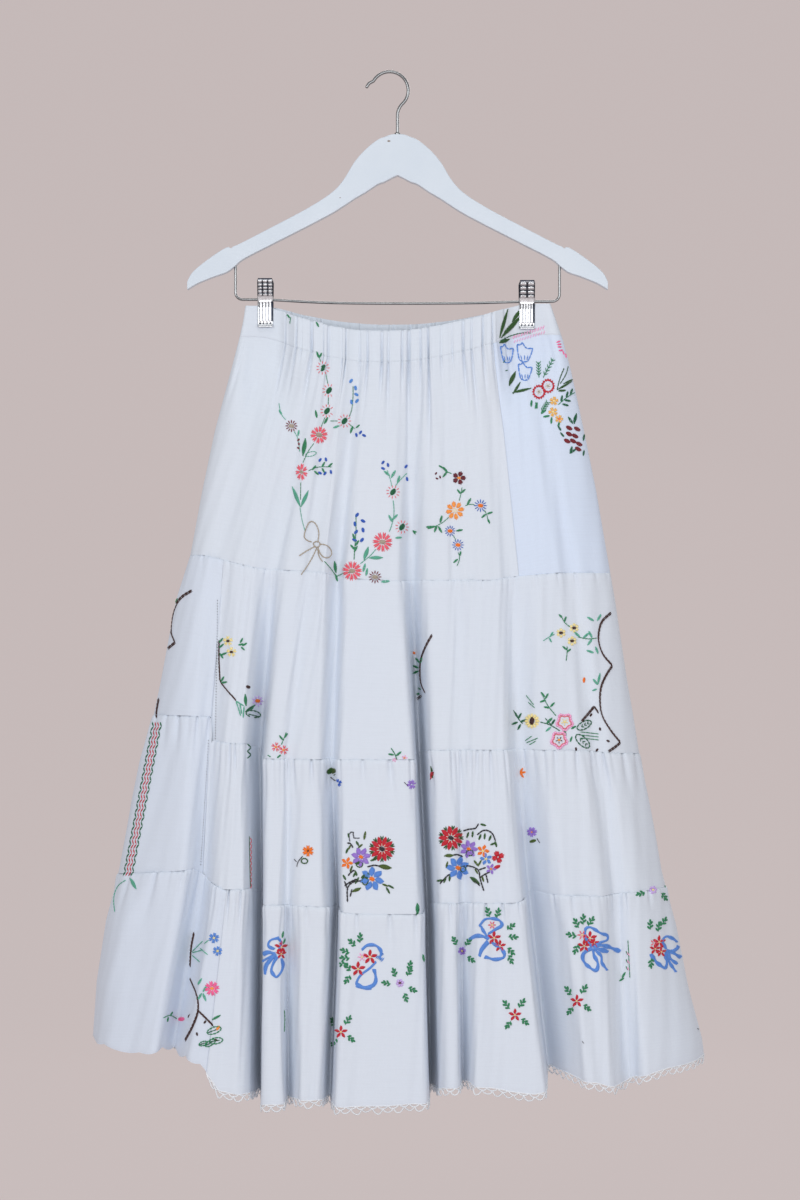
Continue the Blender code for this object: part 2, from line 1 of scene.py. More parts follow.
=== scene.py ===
"""The looks of a long tiered skirt of embroidered linens on a clip hanger.

Metres, +Z up, the front faces -Y, the origin inside the hook's crown. Sections run down the
object as it hangs: board, hook, bar, clips, the hang of the cloth, its gathers, its panels,
the embroidery from tier to tier and the edging, and then the room.
"""
import math
from collections import namedtuple

import bmesh
import bpy
import numpy as np
from mathutils import Matrix, Vector
from mathutils.bvhtree import BVHTree


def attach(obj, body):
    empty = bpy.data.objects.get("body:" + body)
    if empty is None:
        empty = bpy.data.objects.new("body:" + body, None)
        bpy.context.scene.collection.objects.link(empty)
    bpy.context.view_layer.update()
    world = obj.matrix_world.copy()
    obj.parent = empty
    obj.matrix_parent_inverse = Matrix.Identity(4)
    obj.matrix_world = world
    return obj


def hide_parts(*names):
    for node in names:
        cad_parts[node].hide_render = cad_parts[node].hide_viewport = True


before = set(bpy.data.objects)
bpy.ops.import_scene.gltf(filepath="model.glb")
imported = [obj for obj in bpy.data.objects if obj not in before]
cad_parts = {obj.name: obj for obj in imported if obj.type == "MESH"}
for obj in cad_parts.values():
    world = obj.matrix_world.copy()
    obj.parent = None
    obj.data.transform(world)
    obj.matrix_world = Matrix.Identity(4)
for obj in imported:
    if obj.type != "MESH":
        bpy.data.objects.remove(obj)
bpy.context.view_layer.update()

# The hanger's board: one flat piece of wood 12 mm thick, sawn to an arm each side of a raised
# neck, its edges rounded over, brushed with white satin paint. It is screwed to nothing: the
# hook and the bar stand in holes bored up and down into it.
MIDDLE = 0.0083
WOOD = 0.012
ROUNDING = 0.0040
NOTCH = 0.1742
NOTCH_DEPTH = 0.0022
NOTCH_WIDTH = 0.0016
Station = namedtuple("Station", "out upper lower")
ARM = [Station(*row) for row in (
    (0.0000, -0.0645, -0.1075),
    (0.0065, -0.0648, -0.1105),
    (0.0140, -0.0675, -0.1145),
    (0.0210, -0.0705, -0.1170),
    (0.0330, -0.0800, -0.1250),
    (0.0450, -0.0935, -0.1320),
    (0.0570, -0.1130, -0.1400),
    (0.0700, -0.1265, -0.1480),
    (0.0950, -0.1425, -0.1612),
    (0.1320, -0.1620, -0.1800),
    (0.1610, -0.1770, -0.1950),
    (0.1700, -0.1812, -0.2025),
    (0.1790, -0.1830, -0.2090),
    (0.1920, -0.1910, -0.2135),
    (0.2080, -0.2030, -0.2200),
    (0.2160, -0.2110, -0.2245),
    (0.2200, -0.2190, -0.2270),
)]
Scuff = namedtuple("Scuff", "x z size")
SCUFFS = [Scuff(*row) for row in (
    (-0.0090, -0.0718, 0.0016),
    (0.0538, -0.1001, 0.0012),
    (-0.0600, -0.1310, 0.0007),
)]


class Wire:
    """A socket of a material's nodes, so that sums on it can be written as sums."""

    def __init__(self, finish, socket):
        self.finish = finish
        self.socket = socket

    def sum(self, operation, first, second=0.0):
        return self.finish.add("ShaderNodeMath", {"operation": operation}, {0: first, 1: second})

    def __add__(self, other):
        return self.sum("ADD", self, other)

    def __radd__(self, other):
        return self.sum("ADD", other, self)

    def __sub__(self, other):
        return self.sum("SUBTRACT", self, other)

    def __mul__(self, other):
        return self.sum("MULTIPLY", self, other)

    def __rmul__(self, other):
        return self.sum("MULTIPLY", other, self)

    def __pow__(self, other):
        return self.sum("POWER", self, other)

    def below(self, edge, soft):
        """1 where the value is under the edge, 0 above it, with a soft step."""
        sockets = {"Value": self, "From Min": edge - soft, "From Max": edge + soft,
                   "To Min": 1.0, "To Max": 0.0}
        return self.finish.add("ShaderNodeMapRange", {"interpolation_type": "SMOOTHSTEP"}, sockets)


class Finish:
    """One material, built on a Principled shader."""

    def __init__(self, name, **constants):
        self.material = bpy.data.materials.new(name)
        self.material.use_nodes = True
        self.tree = self.material.node_tree
        self.shader = self.tree.nodes["Principled BSDF"]
        for key, value in constants.items():
            self.shader.inputs[key.replace("_", " ")].default_value = value

    def add(self, kind, settings=None, sockets=None, out=0):
        """Any node: its settings first, then its sockets' values or links."""
        node = self.tree.nodes.new(kind)
        for key, value in (settings or {}).items():
            setattr(node, key, value)
        for key, value in (sockets or {}).items():
            self.put(node.inputs[key], value)
        return Wire(self, node.outputs[out])

    def put(self, socket, value):
        if isinstance(value, Wire):
            self.tree.links.new(value.socket, socket)
        else:
            socket.default_value = value

    def feed(self, key, value):
        self.put(self.shader.inputs[key], value)

    def blend(self, share, first, second):
        """A colour between two, by a share."""
        settings = {"data_type": "RGBA", "blend_type": "MIX"}
        return self.add("ShaderNodeMix", settings, {0: share, 6: first, 7: second}, out=2)

    def place(self, uv=None, stretch=(1.0, 1.0, 1.0)):
        """Object coordinates, or those of a UV map, stretched."""
        if uv:
            point = self.add("ShaderNodeUVMap", {"uv_map": uv})
        else:
            point = self.add("ShaderNodeTexCoord", out=3)
        return self.add("ShaderNodeMapping", None, {"Vector": point, "Scale": stretch})

    def noise(self, point, scale, detail=2.0, rough=0.5):
        sockets = {"Vector": point, "Scale": scale, "Detail": detail, "Roughness": rough}
        return self.add("ShaderNodeTexNoise", None, sockets)

    def bump(self, height, distance, strength=1.0):
        sockets = {"Height": height, "Distance": distance, "Strength": strength}
        self.feed("Normal", self.add("ShaderNodeBump", None, sockets))


def smooth(x):
    """0 below 0, 1 above 1 and an S curve between them, for a number or an array."""
    x = np.clip(x, 0.0, 1.0)
    return x * x * (3.0 - 2.0 * x)


def rounded(points, steps=4):
    """A curve through points, with a few steps between each pair."""
    points = np.array(points, float)
    padded = np.vstack((2.0 * points[0] - points[1], points, 2.0 * points[-1] - points[-2]))
    u = np.arange(steps)[:, None] / steps
    found = []
    for a, b, c, d in zip(padded, padded[1:], padded[2:], padded[3:]):
        bend = 2.0 * a - 5.0 * b + 4.0 * c - d
        turn = 3.0 * b - 3.0 * c + d - a
        found.append(0.5 * (2.0 * b + (c - a) * u + bend * u ** 2 + turn * u ** 3))
    return np.vstack(found + [points[-1:]])


def piece(name, mesh, finish, nodes=()):
    """An object at the origin that hangs with the rest and stands for its solids."""
    made = bpy.data.objects.new(name, mesh)
    bpy.context.scene.collection.objects.link(made)
    if not mesh.materials:
        mesh.materials.append(finish.material)
    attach(made, "root")
    if nodes:
        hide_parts(*nodes)
    return made


def mesh_from(name, bm):
    """A mesh from a bmesh, smooth except at its sharp edges."""
    mesh = bpy.data.meshes.new(name)
    bmesh.ops.recalc_face_normals(bm, faces=bm.faces)
    bm.to_mesh(mesh)
    bm.free()
    mesh.shade_smooth()
    mesh.set_sharp_from_angle(angle=math.radians(38.0))
    return mesh


paint = Finish("white_paint", Roughness=0.38, Coat_Weight=0.25, Coat_Roughness=0.25)
grain = paint.noise(paint.place(stretch=(9.0, 60.0, 60.0)), 14.0, 5.0, 0.6)
mottle = paint.noise(paint.place(), 22.0, 3.0)
paint_white = paint.blend(mottle, (0.56, 0.64, 0.73, 1.0), (0.63, 0.70, 0.78, 1.0))
across = paint.add("ShaderNodeSeparateXYZ", None, {"Vector": paint.place()})
upward = Wire(paint, across.socket.node.outputs[2])
chipped = None
for scuff in SCUFFS:
    apart = ((across - (MIDDLE + scuff.x)) ** 2.0 + ((upward - scuff.z) * 1.6) ** 2.0) ** 0.5
    ragged = apart + (grain - 0.5) * scuff.size
    spot = ragged.below(scuff.size, scuff.size * 0.35)
    chipped = spot if chipped is None else chipped + spot
paint.feed("Base Color", paint.blend(chipped, paint_white, (0.24, 0.20, 0.17, 1.0)))
paint.feed("Roughness", 0.33 + 0.14 * grain)
paint.bump(grain * 0.6 + mottle * 0.4 - chipped * 0.5, 0.00035, 0.5)

top_line = rounded([(station.out, station.upper) for station in ARM])
under_line = rounded([(station.out, station.lower) for station in ARM])
top_line[:, 1] -= NOTCH_DEPTH * np.exp(-((top_line[:, 0] - NOTCH) / NOTCH_WIDTH) ** 2)
half_loop = np.vstack((top_line, under_line[::-1]))
bm = bmesh.new()
board_loop = [(MIDDLE + d, -WOOD / 2.0, z) for d, z in half_loop if d > 1e-6]
board_loop.insert(0, (MIDDLE, -WOOD / 2.0, ARM[0].upper))
board_loop.append((MIDDLE, -WOOD / 2.0, ARM[0].lower))
face = bm.faces.new([bm.verts.new(point) for point in board_loop])
raised = bmesh.ops.extrude_face_region(bm, geom=[face], use_keep_orig=True)
raised = [item for item in raised["geom"] if isinstance(item, bmesh.types.BMVert)]
bmesh.ops.translate(bm, verts=raised, vec=(0.0, WOOD, 0.0))
wall = [f for f in bm.faces if all(abs(v.co.x - MIDDLE) < 1e-6 for v in f.verts)]
bmesh.ops.delete(bm, geom=wall, context="FACES")
bmesh.ops.mirror(bm, geom=list(bm.verts) + list(bm.edges) + list(bm.faces), axis="X",
                 matrix=Matrix.Translation((-MIDDLE, 0.0, 0.0)), merge_dist=1e-5)
bmesh.ops.dissolve_degenerate(bm, edges=bm.edges, dist=1e-6)
board = piece("hanger_board", mesh_from("hanger_board", bm), paint, ["hanger_body"])
rounding = board.modifiers.new("rounding", "BEVEL")
rounding.width = ROUNDING
rounding.segments = 4
rounding.limit_method = "ANGLE"
rounding.angle_limit = math.radians(60.0)
rounding.use_clamp_overlap = True

# The hook: 3.4 mm steel wire, bright plated, bent to a crown over the rail and back to a stem
# that stands in the neck. A small collar of the same metal closes the hole in the wood.
HOOK_WIRE = 0.0017
HOOK_BEND = 0.0195
CROWN_START = 150.0
CROWN_END = -38.0
HOOK_TIP = ((-0.0244, 0.0, -0.0155), (-0.0232, 0.0, -0.0130), (-0.0212, 0.0, -0.0104))
TIP_TAPER = (0.55, 0.85, 0.98)
HOOK_NECK = ((0.0112, 0.0, -0.0345), (0.0088, 0.0, -0.0400), (0.0083, 0.0, -0.0460))
STEM_TOP = -0.0560
STEM_END = -0.0830
Ring = namedtuple("Ring", "radius z")
COLLAR = (Ring(0.0034, -0.0646), Ring(0.0034, -0.0632), Ring(0.0026, -0.0622), Ring(0.0018, -0.0619))

chrome = Finish("chrome", Metallic=1.0, Coat_Weight=0.0)
streaks = chrome.noise(chrome.place(stretch=(1.0, 1.0, 0.15)), 900.0, 3.0)
tarnish = chrome.noise(chrome.place(), 160.0, 4.0)
chrome.feed("Base Color", chrome.blend(tarnish, (0.17, 0.18, 0.19, 1.0), (0.36, 0.37, 0.38, 1.0)))
chrome.feed("Roughness", 0.10 + 0.12 * tarnish + 0.05 * streaks)
chrome.bump(streaks, 0.00004, 0.3)


def arc(centre_x, centre_z, radius, start, end, count):
    """Points on an arc in the hanger's plane, by angle in degrees from +X."""
    turns = np.radians(np.linspace(start, end, count))
    return [(centre_x + radius * math.cos(a), 0.0, centre_z + radius * math.sin(a)) for a in turns]


def threads(name, paths, radius, shares=None, sides=1):
    """Round threads or wires along paths of points, closed at their ends, as one mesh."""
    line = bpy.data.curves.new(name, "CURVE")
    line.dimensions = "3D"
    line.bevel_depth = radius
    line.bevel_resolution = sides
    line.use_fill_caps = True
    for number, path in enumerate(paths):
        spline = line.splines.new("POLY")
        spline.points.add(len(path) - 1)
        spline.points.foreach_set("co", np.hstack((path, np.ones((len(path), 1)))).ravel())
        if shares is not None:
            spline.points.foreach_set("radius", shares[number])
    holder = bpy.data.objects.new(name, line)
    bpy.context.scene.collection.objects.link(holder)
    mesh = bpy.data.meshes.new_from_object(holder.evaluated_get(bpy.context.evaluated_depsgraph_get()))
    bpy.data.objects.remove(holder)
    mesh.name = name
    mesh.materials.clear()
    mesh.shade_smooth()
    return mesh


crown = arc(0.0, HOOK_WIRE - HOOK_BEND, HOOK_BEND, CROWN_START, CROWN_END, 48)
tip_curve = rounded([*HOOK_TIP, crown[0]])
stem_curve = rounded([crown[-1], *HOOK_NECK, (MIDDLE, 0.0, STEM_TOP), (MIDDLE, 0.0, STEM_END)])
hook_route = np.vstack((tip_curve[:-1], crown[:-1], stem_curve))
hook_shares = np.ones(len(hook_route))
hook_shares[:len(TIP_TAPER)] = TIP_TAPER
hook_mesh = threads("hook_wire", [hook_route], HOOK_WIRE, [hook_shares], sides=4)
piece("hook_wire", hook_mesh, chrome, ["hanger_hook"])

bm = bmesh.new()
section = [bm.verts.new((MIDDLE + ring.radius, 0.0, ring.z)) for ring in COLLAR]
for lower, upper in zip(section, section[1:]):
    bm.edges.new((lower, upper))
bmesh.ops.spin(bm, geom=list(bm.verts) + list(bm.edges), axis=(0.0, 0.0, 1.0), steps=24,
               cent=(MIDDLE, 0.0, 0.0), angle=math.tau, use_merge=True)
bmesh.ops.remove_doubles(bm, verts=bm.verts, dist=1e-6)
piece("hook_collar", mesh_from("hook_collar", bm), chrome)

# The bar that the clips ride on: 2.8 mm plated steel wire, bent up at both ends and pressed
# into the arms, a little bowed between the clips by the skirt's weight.
BAR_WIRE = 0.0014
BAR_LEFT = -0.2370
BAR_RIGHT = -0.2390
BAR_SAG = 0.0030
DIP_REACH = 0.06
DIP_LEFT = 0.0004
DIP_RIGHT = 0.0002
BAR_BEND = 0.0075
UPRIGHT = 0.1697
UPRIGHT_KNEE = -0.215
BAR_END = -0.1930
CLIP_LEFT = -0.1300
CLIP_RIGHT = 0.1437

bar_low = (BAR_LEFT + BAR_RIGHT) / 2.0 - BAR_SAG
left_up = MIDDLE - UPRIGHT
right_up = MIDDLE + UPRIGHT
bar_dip = [(MIDDLE - DIP_REACH, 0.0, bar_low + DIP_LEFT), (MIDDLE + DIP_REACH, 0.0, bar_low + DIP_RIGHT)]
bar_middle = rounded([(CLIP_LEFT, 0.0, BAR_LEFT), *bar_dip, (CLIP_RIGHT, 0.0, BAR_RIGHT)], 8)
bar_route = np.vstack((
    [(left_up, 0.0, BAR_END), (left_up, 0.0, UPRIGHT_KNEE)],
    arc(left_up + BAR_BEND, BAR_LEFT + BAR_BEND, BAR_BEND, 180.0, 270.0, 10),
    bar_middle,
    arc(right_up - BAR_BEND, BAR_RIGHT + BAR_BEND, BAR_BEND, 270.0, 360.0, 10),
    [(right_up, 0.0, UPRIGHT_KNEE), (right_up, 0.0, BAR_END)],
))
piece("bar_wire", threads("bar_wire", [bar_route], BAR_WIRE, sides=3), chrome, ["hanger_bar"])

# The clips: each is a pair of plates stamped from 0.9 mm plated steel, sprung together below
# the bar. The grip has rows of raised pads, the jaw has lengthwise ribs, slots and a lip.
CLIP_WIDTH = 0.0165
CLIP_METAL = 0.0009
PlatePoint = namedtuple("PlatePoint", "z away")
CLIP_PLATE = [PlatePoint(*row) for row in (
    (0.0212, 0.0125),
    (0.0195, 0.0126),
    (0.0178, 0.0118),
    (0.0070, 0.0082),
    (0.0035, 0.0070),
    (0.0000, 0.0062),
    (-0.0040, 0.0054),
    (-0.0085, 0.0048),
    (-0.0240, 0.0048),
    (-0.0262, 0.0050),
    (-0.0276, 0.0062),
    (-0.0288, 0.0076),
)]
CLIP_ROWS = 96
CLIP_ACROSS = 34
GRIP_FOOT = 0.0025
GRIP_TOP = 0.0195
GRIP_FADE = 0.0012
JAW_FOOT = -0.0238
JAW_TOP = -0.0015
JAW_FADE = 0.0015
SLOT_LEVEL = -0.0252
SLOT_HEIGHT = 0.0009
SLOT_FADE = 0.0004
SLOT_HALF = 0.26
SLOT_SPREAD = 1.12
SLOT_IN = 0.00055
PAD_OUT = 0.00085
PAD_BLUNT = 0.7
CHEVRON = 0.004
RIB_OUT = 0.00060
GROOVE_HALF = 0.26
GROOVE_FADE = 0.20
EDGE_TURN = 0.0007
CORNER_CUT = 0.10
CORNER_FOOT = 0.0185
CORNER_FADE = 0.0027
COIL_TURNS = 5.0
COIL_HALF = 0.0050
COIL_RADIUS = 0.0026
COIL_WIRE = 0.00045
EAR_RADIUS = 0.0046
EAR_METAL = 0.0008
EAR_INSET = 0.0012
Relief = namedtuple("Relief", "pads rows slant ribs slots")
CLIP_RELIEF = {
    "left": Relief(3, 5, 0.0, 5, 4),
    "right": Relief(2, 4, 0.9, 6, 4),
}

clip_metal = Finish("clip_chrome_painted_reflections", Metallic=1.0)
# Painted light: a vertex attribute mixes the clips' colour from a near-black blue, which is painted shade
# and painted dark reflection in the recesses, to a pale grey, which is painted bright reflection on the
# raised parts. Noise breaks it up.
painted_reflection = clip_metal.add("ShaderNodeAttribute", {"attribute_name": "painted_reflection"}, out=2)
film_and_painted_glints = clip_metal.noise(clip_metal.place(), 260.0, 3.0)
bright = painted_reflection + 0.3 * film_and_painted_glints - 0.15
clip_metal.feed("Base Color", clip_metal.blend(bright, (0.030, 0.036, 0.052, 1.0), (0.74, 0.76, 0.79, 1.0)))
clip_metal.feed("Roughness", 0.14 + 0.12 * film_and_painted_glints)
clip_metal.bump(film_and_painted_glints, 0.00005, 0.3)


def clip_relief(across, z, relief):
    """How far the plate is pressed out at a point, by pads on the grip and ribs on the jaw, and its
    painted reflection there, with painted shade in the recesses, grooves, slots, a jaw edge and the top."""
    edge = smooth((0.46 - np.abs(across)) / 0.06)
    grip = smooth((z - GRIP_FOOT) / GRIP_FADE) * smooth((GRIP_TOP - z) / GRIP_FADE)
    chevron = np.abs(np.abs(across) - 0.25) * relief.slant * CHEVRON
    columns = np.abs(np.sin(math.pi * (across + 0.5) * relief.pads)) ** PAD_BLUNT
    up_grip = (z + chevron - GRIP_FOOT) / (GRIP_TOP - GRIP_FOOT)
    rows = np.abs(np.sin(math.pi * up_grip * relief.rows)) ** PAD_BLUNT
    pads = smooth(columns * rows * 1.6 - 0.35)
    jaw = smooth((JAW_TOP - z) / JAW_FADE) * smooth((z - JAW_FOOT) / JAW_FADE)
    ribs = 0.5 + 0.5 * np.cos(math.tau * across * relief.ribs + math.pi * (relief.ribs % 2))
    slot_place = np.abs((across * SLOT_SPREAD + 0.5) * relief.slots % 1.0 - 0.5)
    slots = smooth((SLOT_HALF - slot_place) / 0.08)
    slots = slots * smooth((SLOT_HEIGHT - np.abs(z - SLOT_LEVEL)) / SLOT_FADE)
    out = edge * (PAD_OUT * grip * pads + RIB_OUT * jaw * ribs - SLOT_IN * slots)
    # Painted shade: darker between the pads, in the rib grooves, along a stripe at one edge of the jaw, in
    # the slots and over the top of the plate. The raised parts keep a painted bright reflection.
    groove = smooth((GROOVE_HALF - ribs) / GROOVE_FADE) + smooth((across - 0.34) / 0.04)
    painted_shade = grip * (1.0 - pads) + jaw * groove + 1.5 * slots + smooth((z - 0.0190) / 0.0008)
    return out, 1.0 - min(float(painted_shade), 1.0)


def clip_plate(name, middle, bar_height, side, relief, nodes):
    """One plate: a sheet laid to its side view, pressed out, its edges turned in."""
    bm = bmesh.new()
    bmesh.ops.create_grid(bm, x_segments=CLIP_ACROSS, y_segments=CLIP_ROWS, size=0.5)
    # Each vertex keeps its share of painted reflection, which is low where painted shade falls.
    painted_reflection_layer = bm.verts.layers.float.new("painted_reflection")
    heights, aways = np.array(CLIP_PLATE).T
    for vert in bm.verts:
        z = heights[0] + (0.5 - vert.co.y) * (heights[-1] - heights[0])
        edge_turn = EDGE_TURN * smooth((abs(vert.co.x) - 0.45) / 0.05)
        corner = smooth((z - CORNER_FOOT) / CORNER_FADE) * smooth((abs(vert.co.x) - 0.3) / 0.2)
        pressed, vert[painted_reflection_layer] = clip_relief(vert.co.x, z, relief)
        out = np.interp(-z, -heights, aways) + pressed - edge_turn
        across = vert.co.x * CLIP_WIDTH * (1.0 - CORNER_CUT * corner)
        vert.co = Vector((middle + across, side * out, bar_height + z))
    bmesh.ops.recalc_face_normals(bm, faces=bm.faces)
    made = piece(name, mesh_from(name, bm), clip_metal, nodes)
    facing = sum(polygon.normal.y for polygon in made.data.polygons)
    if facing * side < 0.0:
        made.data.flip_normals()
    metal = made.modifiers.new("metal", "SOLIDIFY")
    metal.thickness = CLIP_METAL
    metal.offset = -1.0
    return made


def clip_spring(name, middle, bar_height):
    """The small coil of spring wire between the plates and the ears that ride the bar."""
    coil = []
    for turn in np.linspace(0.0, COIL_TURNS * math.tau, 90):
        along = COIL_HALF * (2.0 * turn / (COIL_TURNS * math.tau) - 1.0)
        y, z = COIL_RADIUS * math.cos(turn), COIL_RADIUS * math.sin(turn)
        coil.append((middle + along, y, bar_height + z))
    piece(name, threads(name, [np.array(coil)], COIL_WIRE, sides=1), chrome)
    bm = bmesh.new()
    for edge in (-1.0, 1.0):
        ear = bmesh.ops.create_circle(bm, cap_ends=True, segments=20, radius=EAR_RADIUS)["verts"]
        bmesh.ops.rotate(bm, verts=ear, matrix=Matrix.Rotation(math.pi / 2.0, 3, "Y"))
        bmesh.ops.scale(bm, verts=ear, vec=(1.0, 1.25, 0.8))
        beside = middle + edge * (CLIP_WIDTH / 2.0 - EAR_INSET)
        bmesh.ops.translate(bm, verts=ear, vec=(beside, 0.0, bar_height))
        raised = bmesh.ops.extrude_face_region(bm, geom=[f for f in bm.faces if ear[0] in f.verts])
        raised = [item for item in raised["geom"] if isinstance(item, bmesh.types.BMVert)]
        bmesh.ops.translate(bm, verts=raised, vec=(edge * EAR_METAL, 0.0, 0.0))
    piece(name + "_ears", mesh_from(name + "_ears", bm), chrome)


for clip_side, clip_middle, clip_height in (
    ("left", CLIP_LEFT, BAR_LEFT),
    ("right", CLIP_RIGHT, BAR_RIGHT),
):
    for face_side, side in (("front", -1.0), ("back", 1.0)):
        clip_plate(f"clip_{clip_side}_{face_side}_plate", clip_middle, clip_height, side,
                   CLIP_RELIEF[clip_side], [f"clip_{clip_side}_{face_side}"])
    clip_spring(f"clip_{clip_side}_spring", clip_middle, clip_height)

# How the cloth hangs: washed white linens of old tablecloths, sewn into four tiers, each
# gathered onto the one above, under a casing on elastic that the two clips hold. The cloth
# falls in deep folds. Each row of FOLDS has its places and depths at levels 1 to 5.
Rim = namedtuple("Rim", "z left right")
OUTLINE = [Rim(*row) for row in (
    (-0.2400, -0.1505, 0.1680),
    (-0.2600, -0.1535, 0.1748),
    (-0.2790, -0.1578, 0.1815),
    (-0.3110, -0.1661, 0.1900),
    (-0.3740, -0.1829, 0.2036),
    (-0.4360, -0.1960, 0.2162),
    (-0.5040, -0.2085, 0.2278),
    (-0.5520, -0.2238, 0.2361),
    (-0.6360, -0.2395, 0.2487),
    (-0.6720, -0.2470, 0.2550),
    (-0.7190, -0.2610, 0.2625),
    (-0.7610, -0.2699, 0.2707),
    (-0.8350, -0.2830, 0.2843),
    (-0.8870, -0.2968, 0.2979),
    (-0.9500, -0.3065, 0.3105),
    (-1.0100, -0.3105, 0.3255),
    (-1.0400, -0.3110, 0.3280),
)]
Depth = namedtuple("Depth", "front back")
DEPTHS = [Depth(*row) for row in (
    (0.024, 0.018),
    (0.030, 0.024),
    (0.050, 0.046),
    (0.074, 0.068),
    (0.092, 0.084),
    (0.108, 0.100),
)]
Seams = namedtuple("Seams", "t tier_2 tier_3 tier_4 hem")
HEIGHTS = [Seams(*row) for row in (
    (0.000, -0.5045, -0.6710, -0.8380, -1.0060),
    (0.050, -0.5050, -0.6710, -0.8300, -1.0160),
    (0.080, -0.5080, -0.6715, -0.8265, -1.0110),
    (0.098, -0.5100, -0.6720, -0.8330, -1.0130),
    (0.099, -0.5101, -0.6965, -0.8332, -1.0131),
    (0.112, -0.5115, -0.6970, -0.8390, -1.0150),
    (0.145, -0.5150, -0.6984, -0.8464, -1.0210),
    (0.160, -0.5160, -0.6984, -0.8464, -1.0500),
    (0.195, -0.5190, -0.6990, -0.8464, -1.0520),
    (0.265, -0.5205, -0.7140, -0.8620, -1.0630),
    (0.360, -0.5230, -0.7146, -0.8626, -1.0560),
    (0.470, -0.5300, -0.7146, -0.8707, -1.0640),
    (0.530, -0.5320, -0.7146, -0.8707, -1.0580),
    (0.620, -0.5310, -0.7049, -0.8600, -1.0460),
    (0.690, -0.5310, -0.7049, -0.8596, -1.0400),
    (0.750, -0.5310, -0.7049, -0.8596, -1.0520),
    (0.820, -0.5270, -0.7049, -0.8510, -1.0310),
    (0.900, -0.5234, -0.7060, -0.8545, -1.0470),
    (1.000, -0.5234, -0.7120, -0.8497, -1.0250),
    (1.250, -0.5180, -0.7030, -0.8560, -1.0430),
    (1.500, -0.5150, -0.6980, -0.8560, -1.0520),
    (1.750, -0.5120, -0.6900, -0.8510, -1.0430),
    (2.000, -0.5045, -0.6710, -0.8380, -1.0060),
)]
Fold = namedtuple("Fold", "name t cloth gap_left gap_right lean places deeps")
FOLDS = [Fold(*row) for row in (
    ("side_soft", 0.098, 0.030, 0.016, 0.014, 0.000,
     (-0.122, -0.172, -0.184, -0.192, -0.222), (0.002, 0.003, 0.010, 0.024, 0.036)),
    ("left_deep", 0.231, 0.044, 0.010, 0.007, 0.003,
     (-0.084, -0.122, -0.137, -0.135, -0.136), (0.002, 0.008, 0.042, 0.058, 0.066)),
    ("bow_edge", 0.325, 0.026, 0.005, 0.010, -0.002,
     (-0.058, -0.082, -0.102, -0.103, -0.101), (0.002, 0.004, 0.006, 0.014, 0.034)),
    ("left_middle", 0.410, 0.032, 0.008, 0.007, 0.002,
     (-0.034, -0.055, -0.061, -0.056, -0.063), (0.003, 0.014, 0.016, 0.046, 0.042)),
    ("centre_deep", 0.573, 0.048, 0.006, 0.008, -0.002,
     (0.024, 0.024, 0.033, 0.041, 0.045), (0.003, 0.020, 0.054, 0.064, 0.072)),
    ("narrow_edge", 0.672, 0.026, 0.005, 0.009, -0.002,
     (0.055, 0.069, 0.072, 0.076, 0.077), (0.002, 0.003, 0.004, 0.012, 0.034)),
    ("right_wide", 0.812, 0.042, 0.012, 0.024, -0.007,
     (0.104, 0.130, 0.136, 0.150, 0.171), (0.002, 0.007, 0.020, 0.044, 0.060)),
    ("right_soft", 0.925, 0.024, 0.014, 0.014, 0.000,
     (0.142, 0.187, 0.212, 0.232, 0.245), (0.002, 0.004, 0.007, 0.012, 0.022)),
    ("back_right", 1.100, 0.030, 0.014, 0.014, 0.000,
     (0.136, 0.178, 0.198, 0.214, 0.236), (0.002, 0.006, 0.014, 0.026, 0.040)),
    ("back_right_deep", 1.235, 0.042, 0.008, 0.009, 0.002,
     (0.094, 0.116, 0.128, 0.140, 0.150), (0.002, 0.010, 0.036, 0.050, 0.060)),
    ("back_right_middle", 1.375, 0.034, 0.009, 0.008, -0.002,
     (0.050, 0.062, 0.066, 0.072, 0.078), (0.002, 0.008, 0.024, 0.038, 0.046)),
    ("back_middle", 1.510, 0.046, 0.008, 0.008, 0.002,
     (0.006, 0.008, 0.010, 0.006, 0.002), (0.003, 0.014, 0.044, 0.058, 0.068)),
    ("back_left_middle", 1.645, 0.034, 0.009, 0.009, 0.000,
     (-0.038, -0.050, -0.058, -0.066, -0.074), (0.002, 0.008, 0.022, 0.036, 0.046)),
    ("back_left_deep", 1.780, 0.042, 0.008, 0.009, -0.002,
     (-0.080, -0.108, -0.124, -0.134, -0.146), (0.002, 0.010, 0.034, 0.050, 0.060)),
    ("back_left", 1.905, 0.028, 0.014, 0.014, 0.000,
     (-0.120, -0.166, -0.188, -0.204, -0.226), (0.002, 0.006, 0.012, 0.026, 0.038)),
)]
FOLD_STARTS = 0.6
FOLD_SPREAD = 1.25
WAIST_SAG_FRONT = 0.029
WAIST_SAG_BACK = 0.019
WAIST_LEFT = -0.2437
WAIST_RIGHT = -0.2416
CASING_DEPTH = 0.033
CLAMPED = 0.0036
SQUARENESS = 3.4
ROOM = 0.014
CLIP_REACH = 0.011
PINCH_FADE = 0.030
PINCH_DOWN = 0.036
PINCH_DROP = 0.110
CLOTH = 0.0008


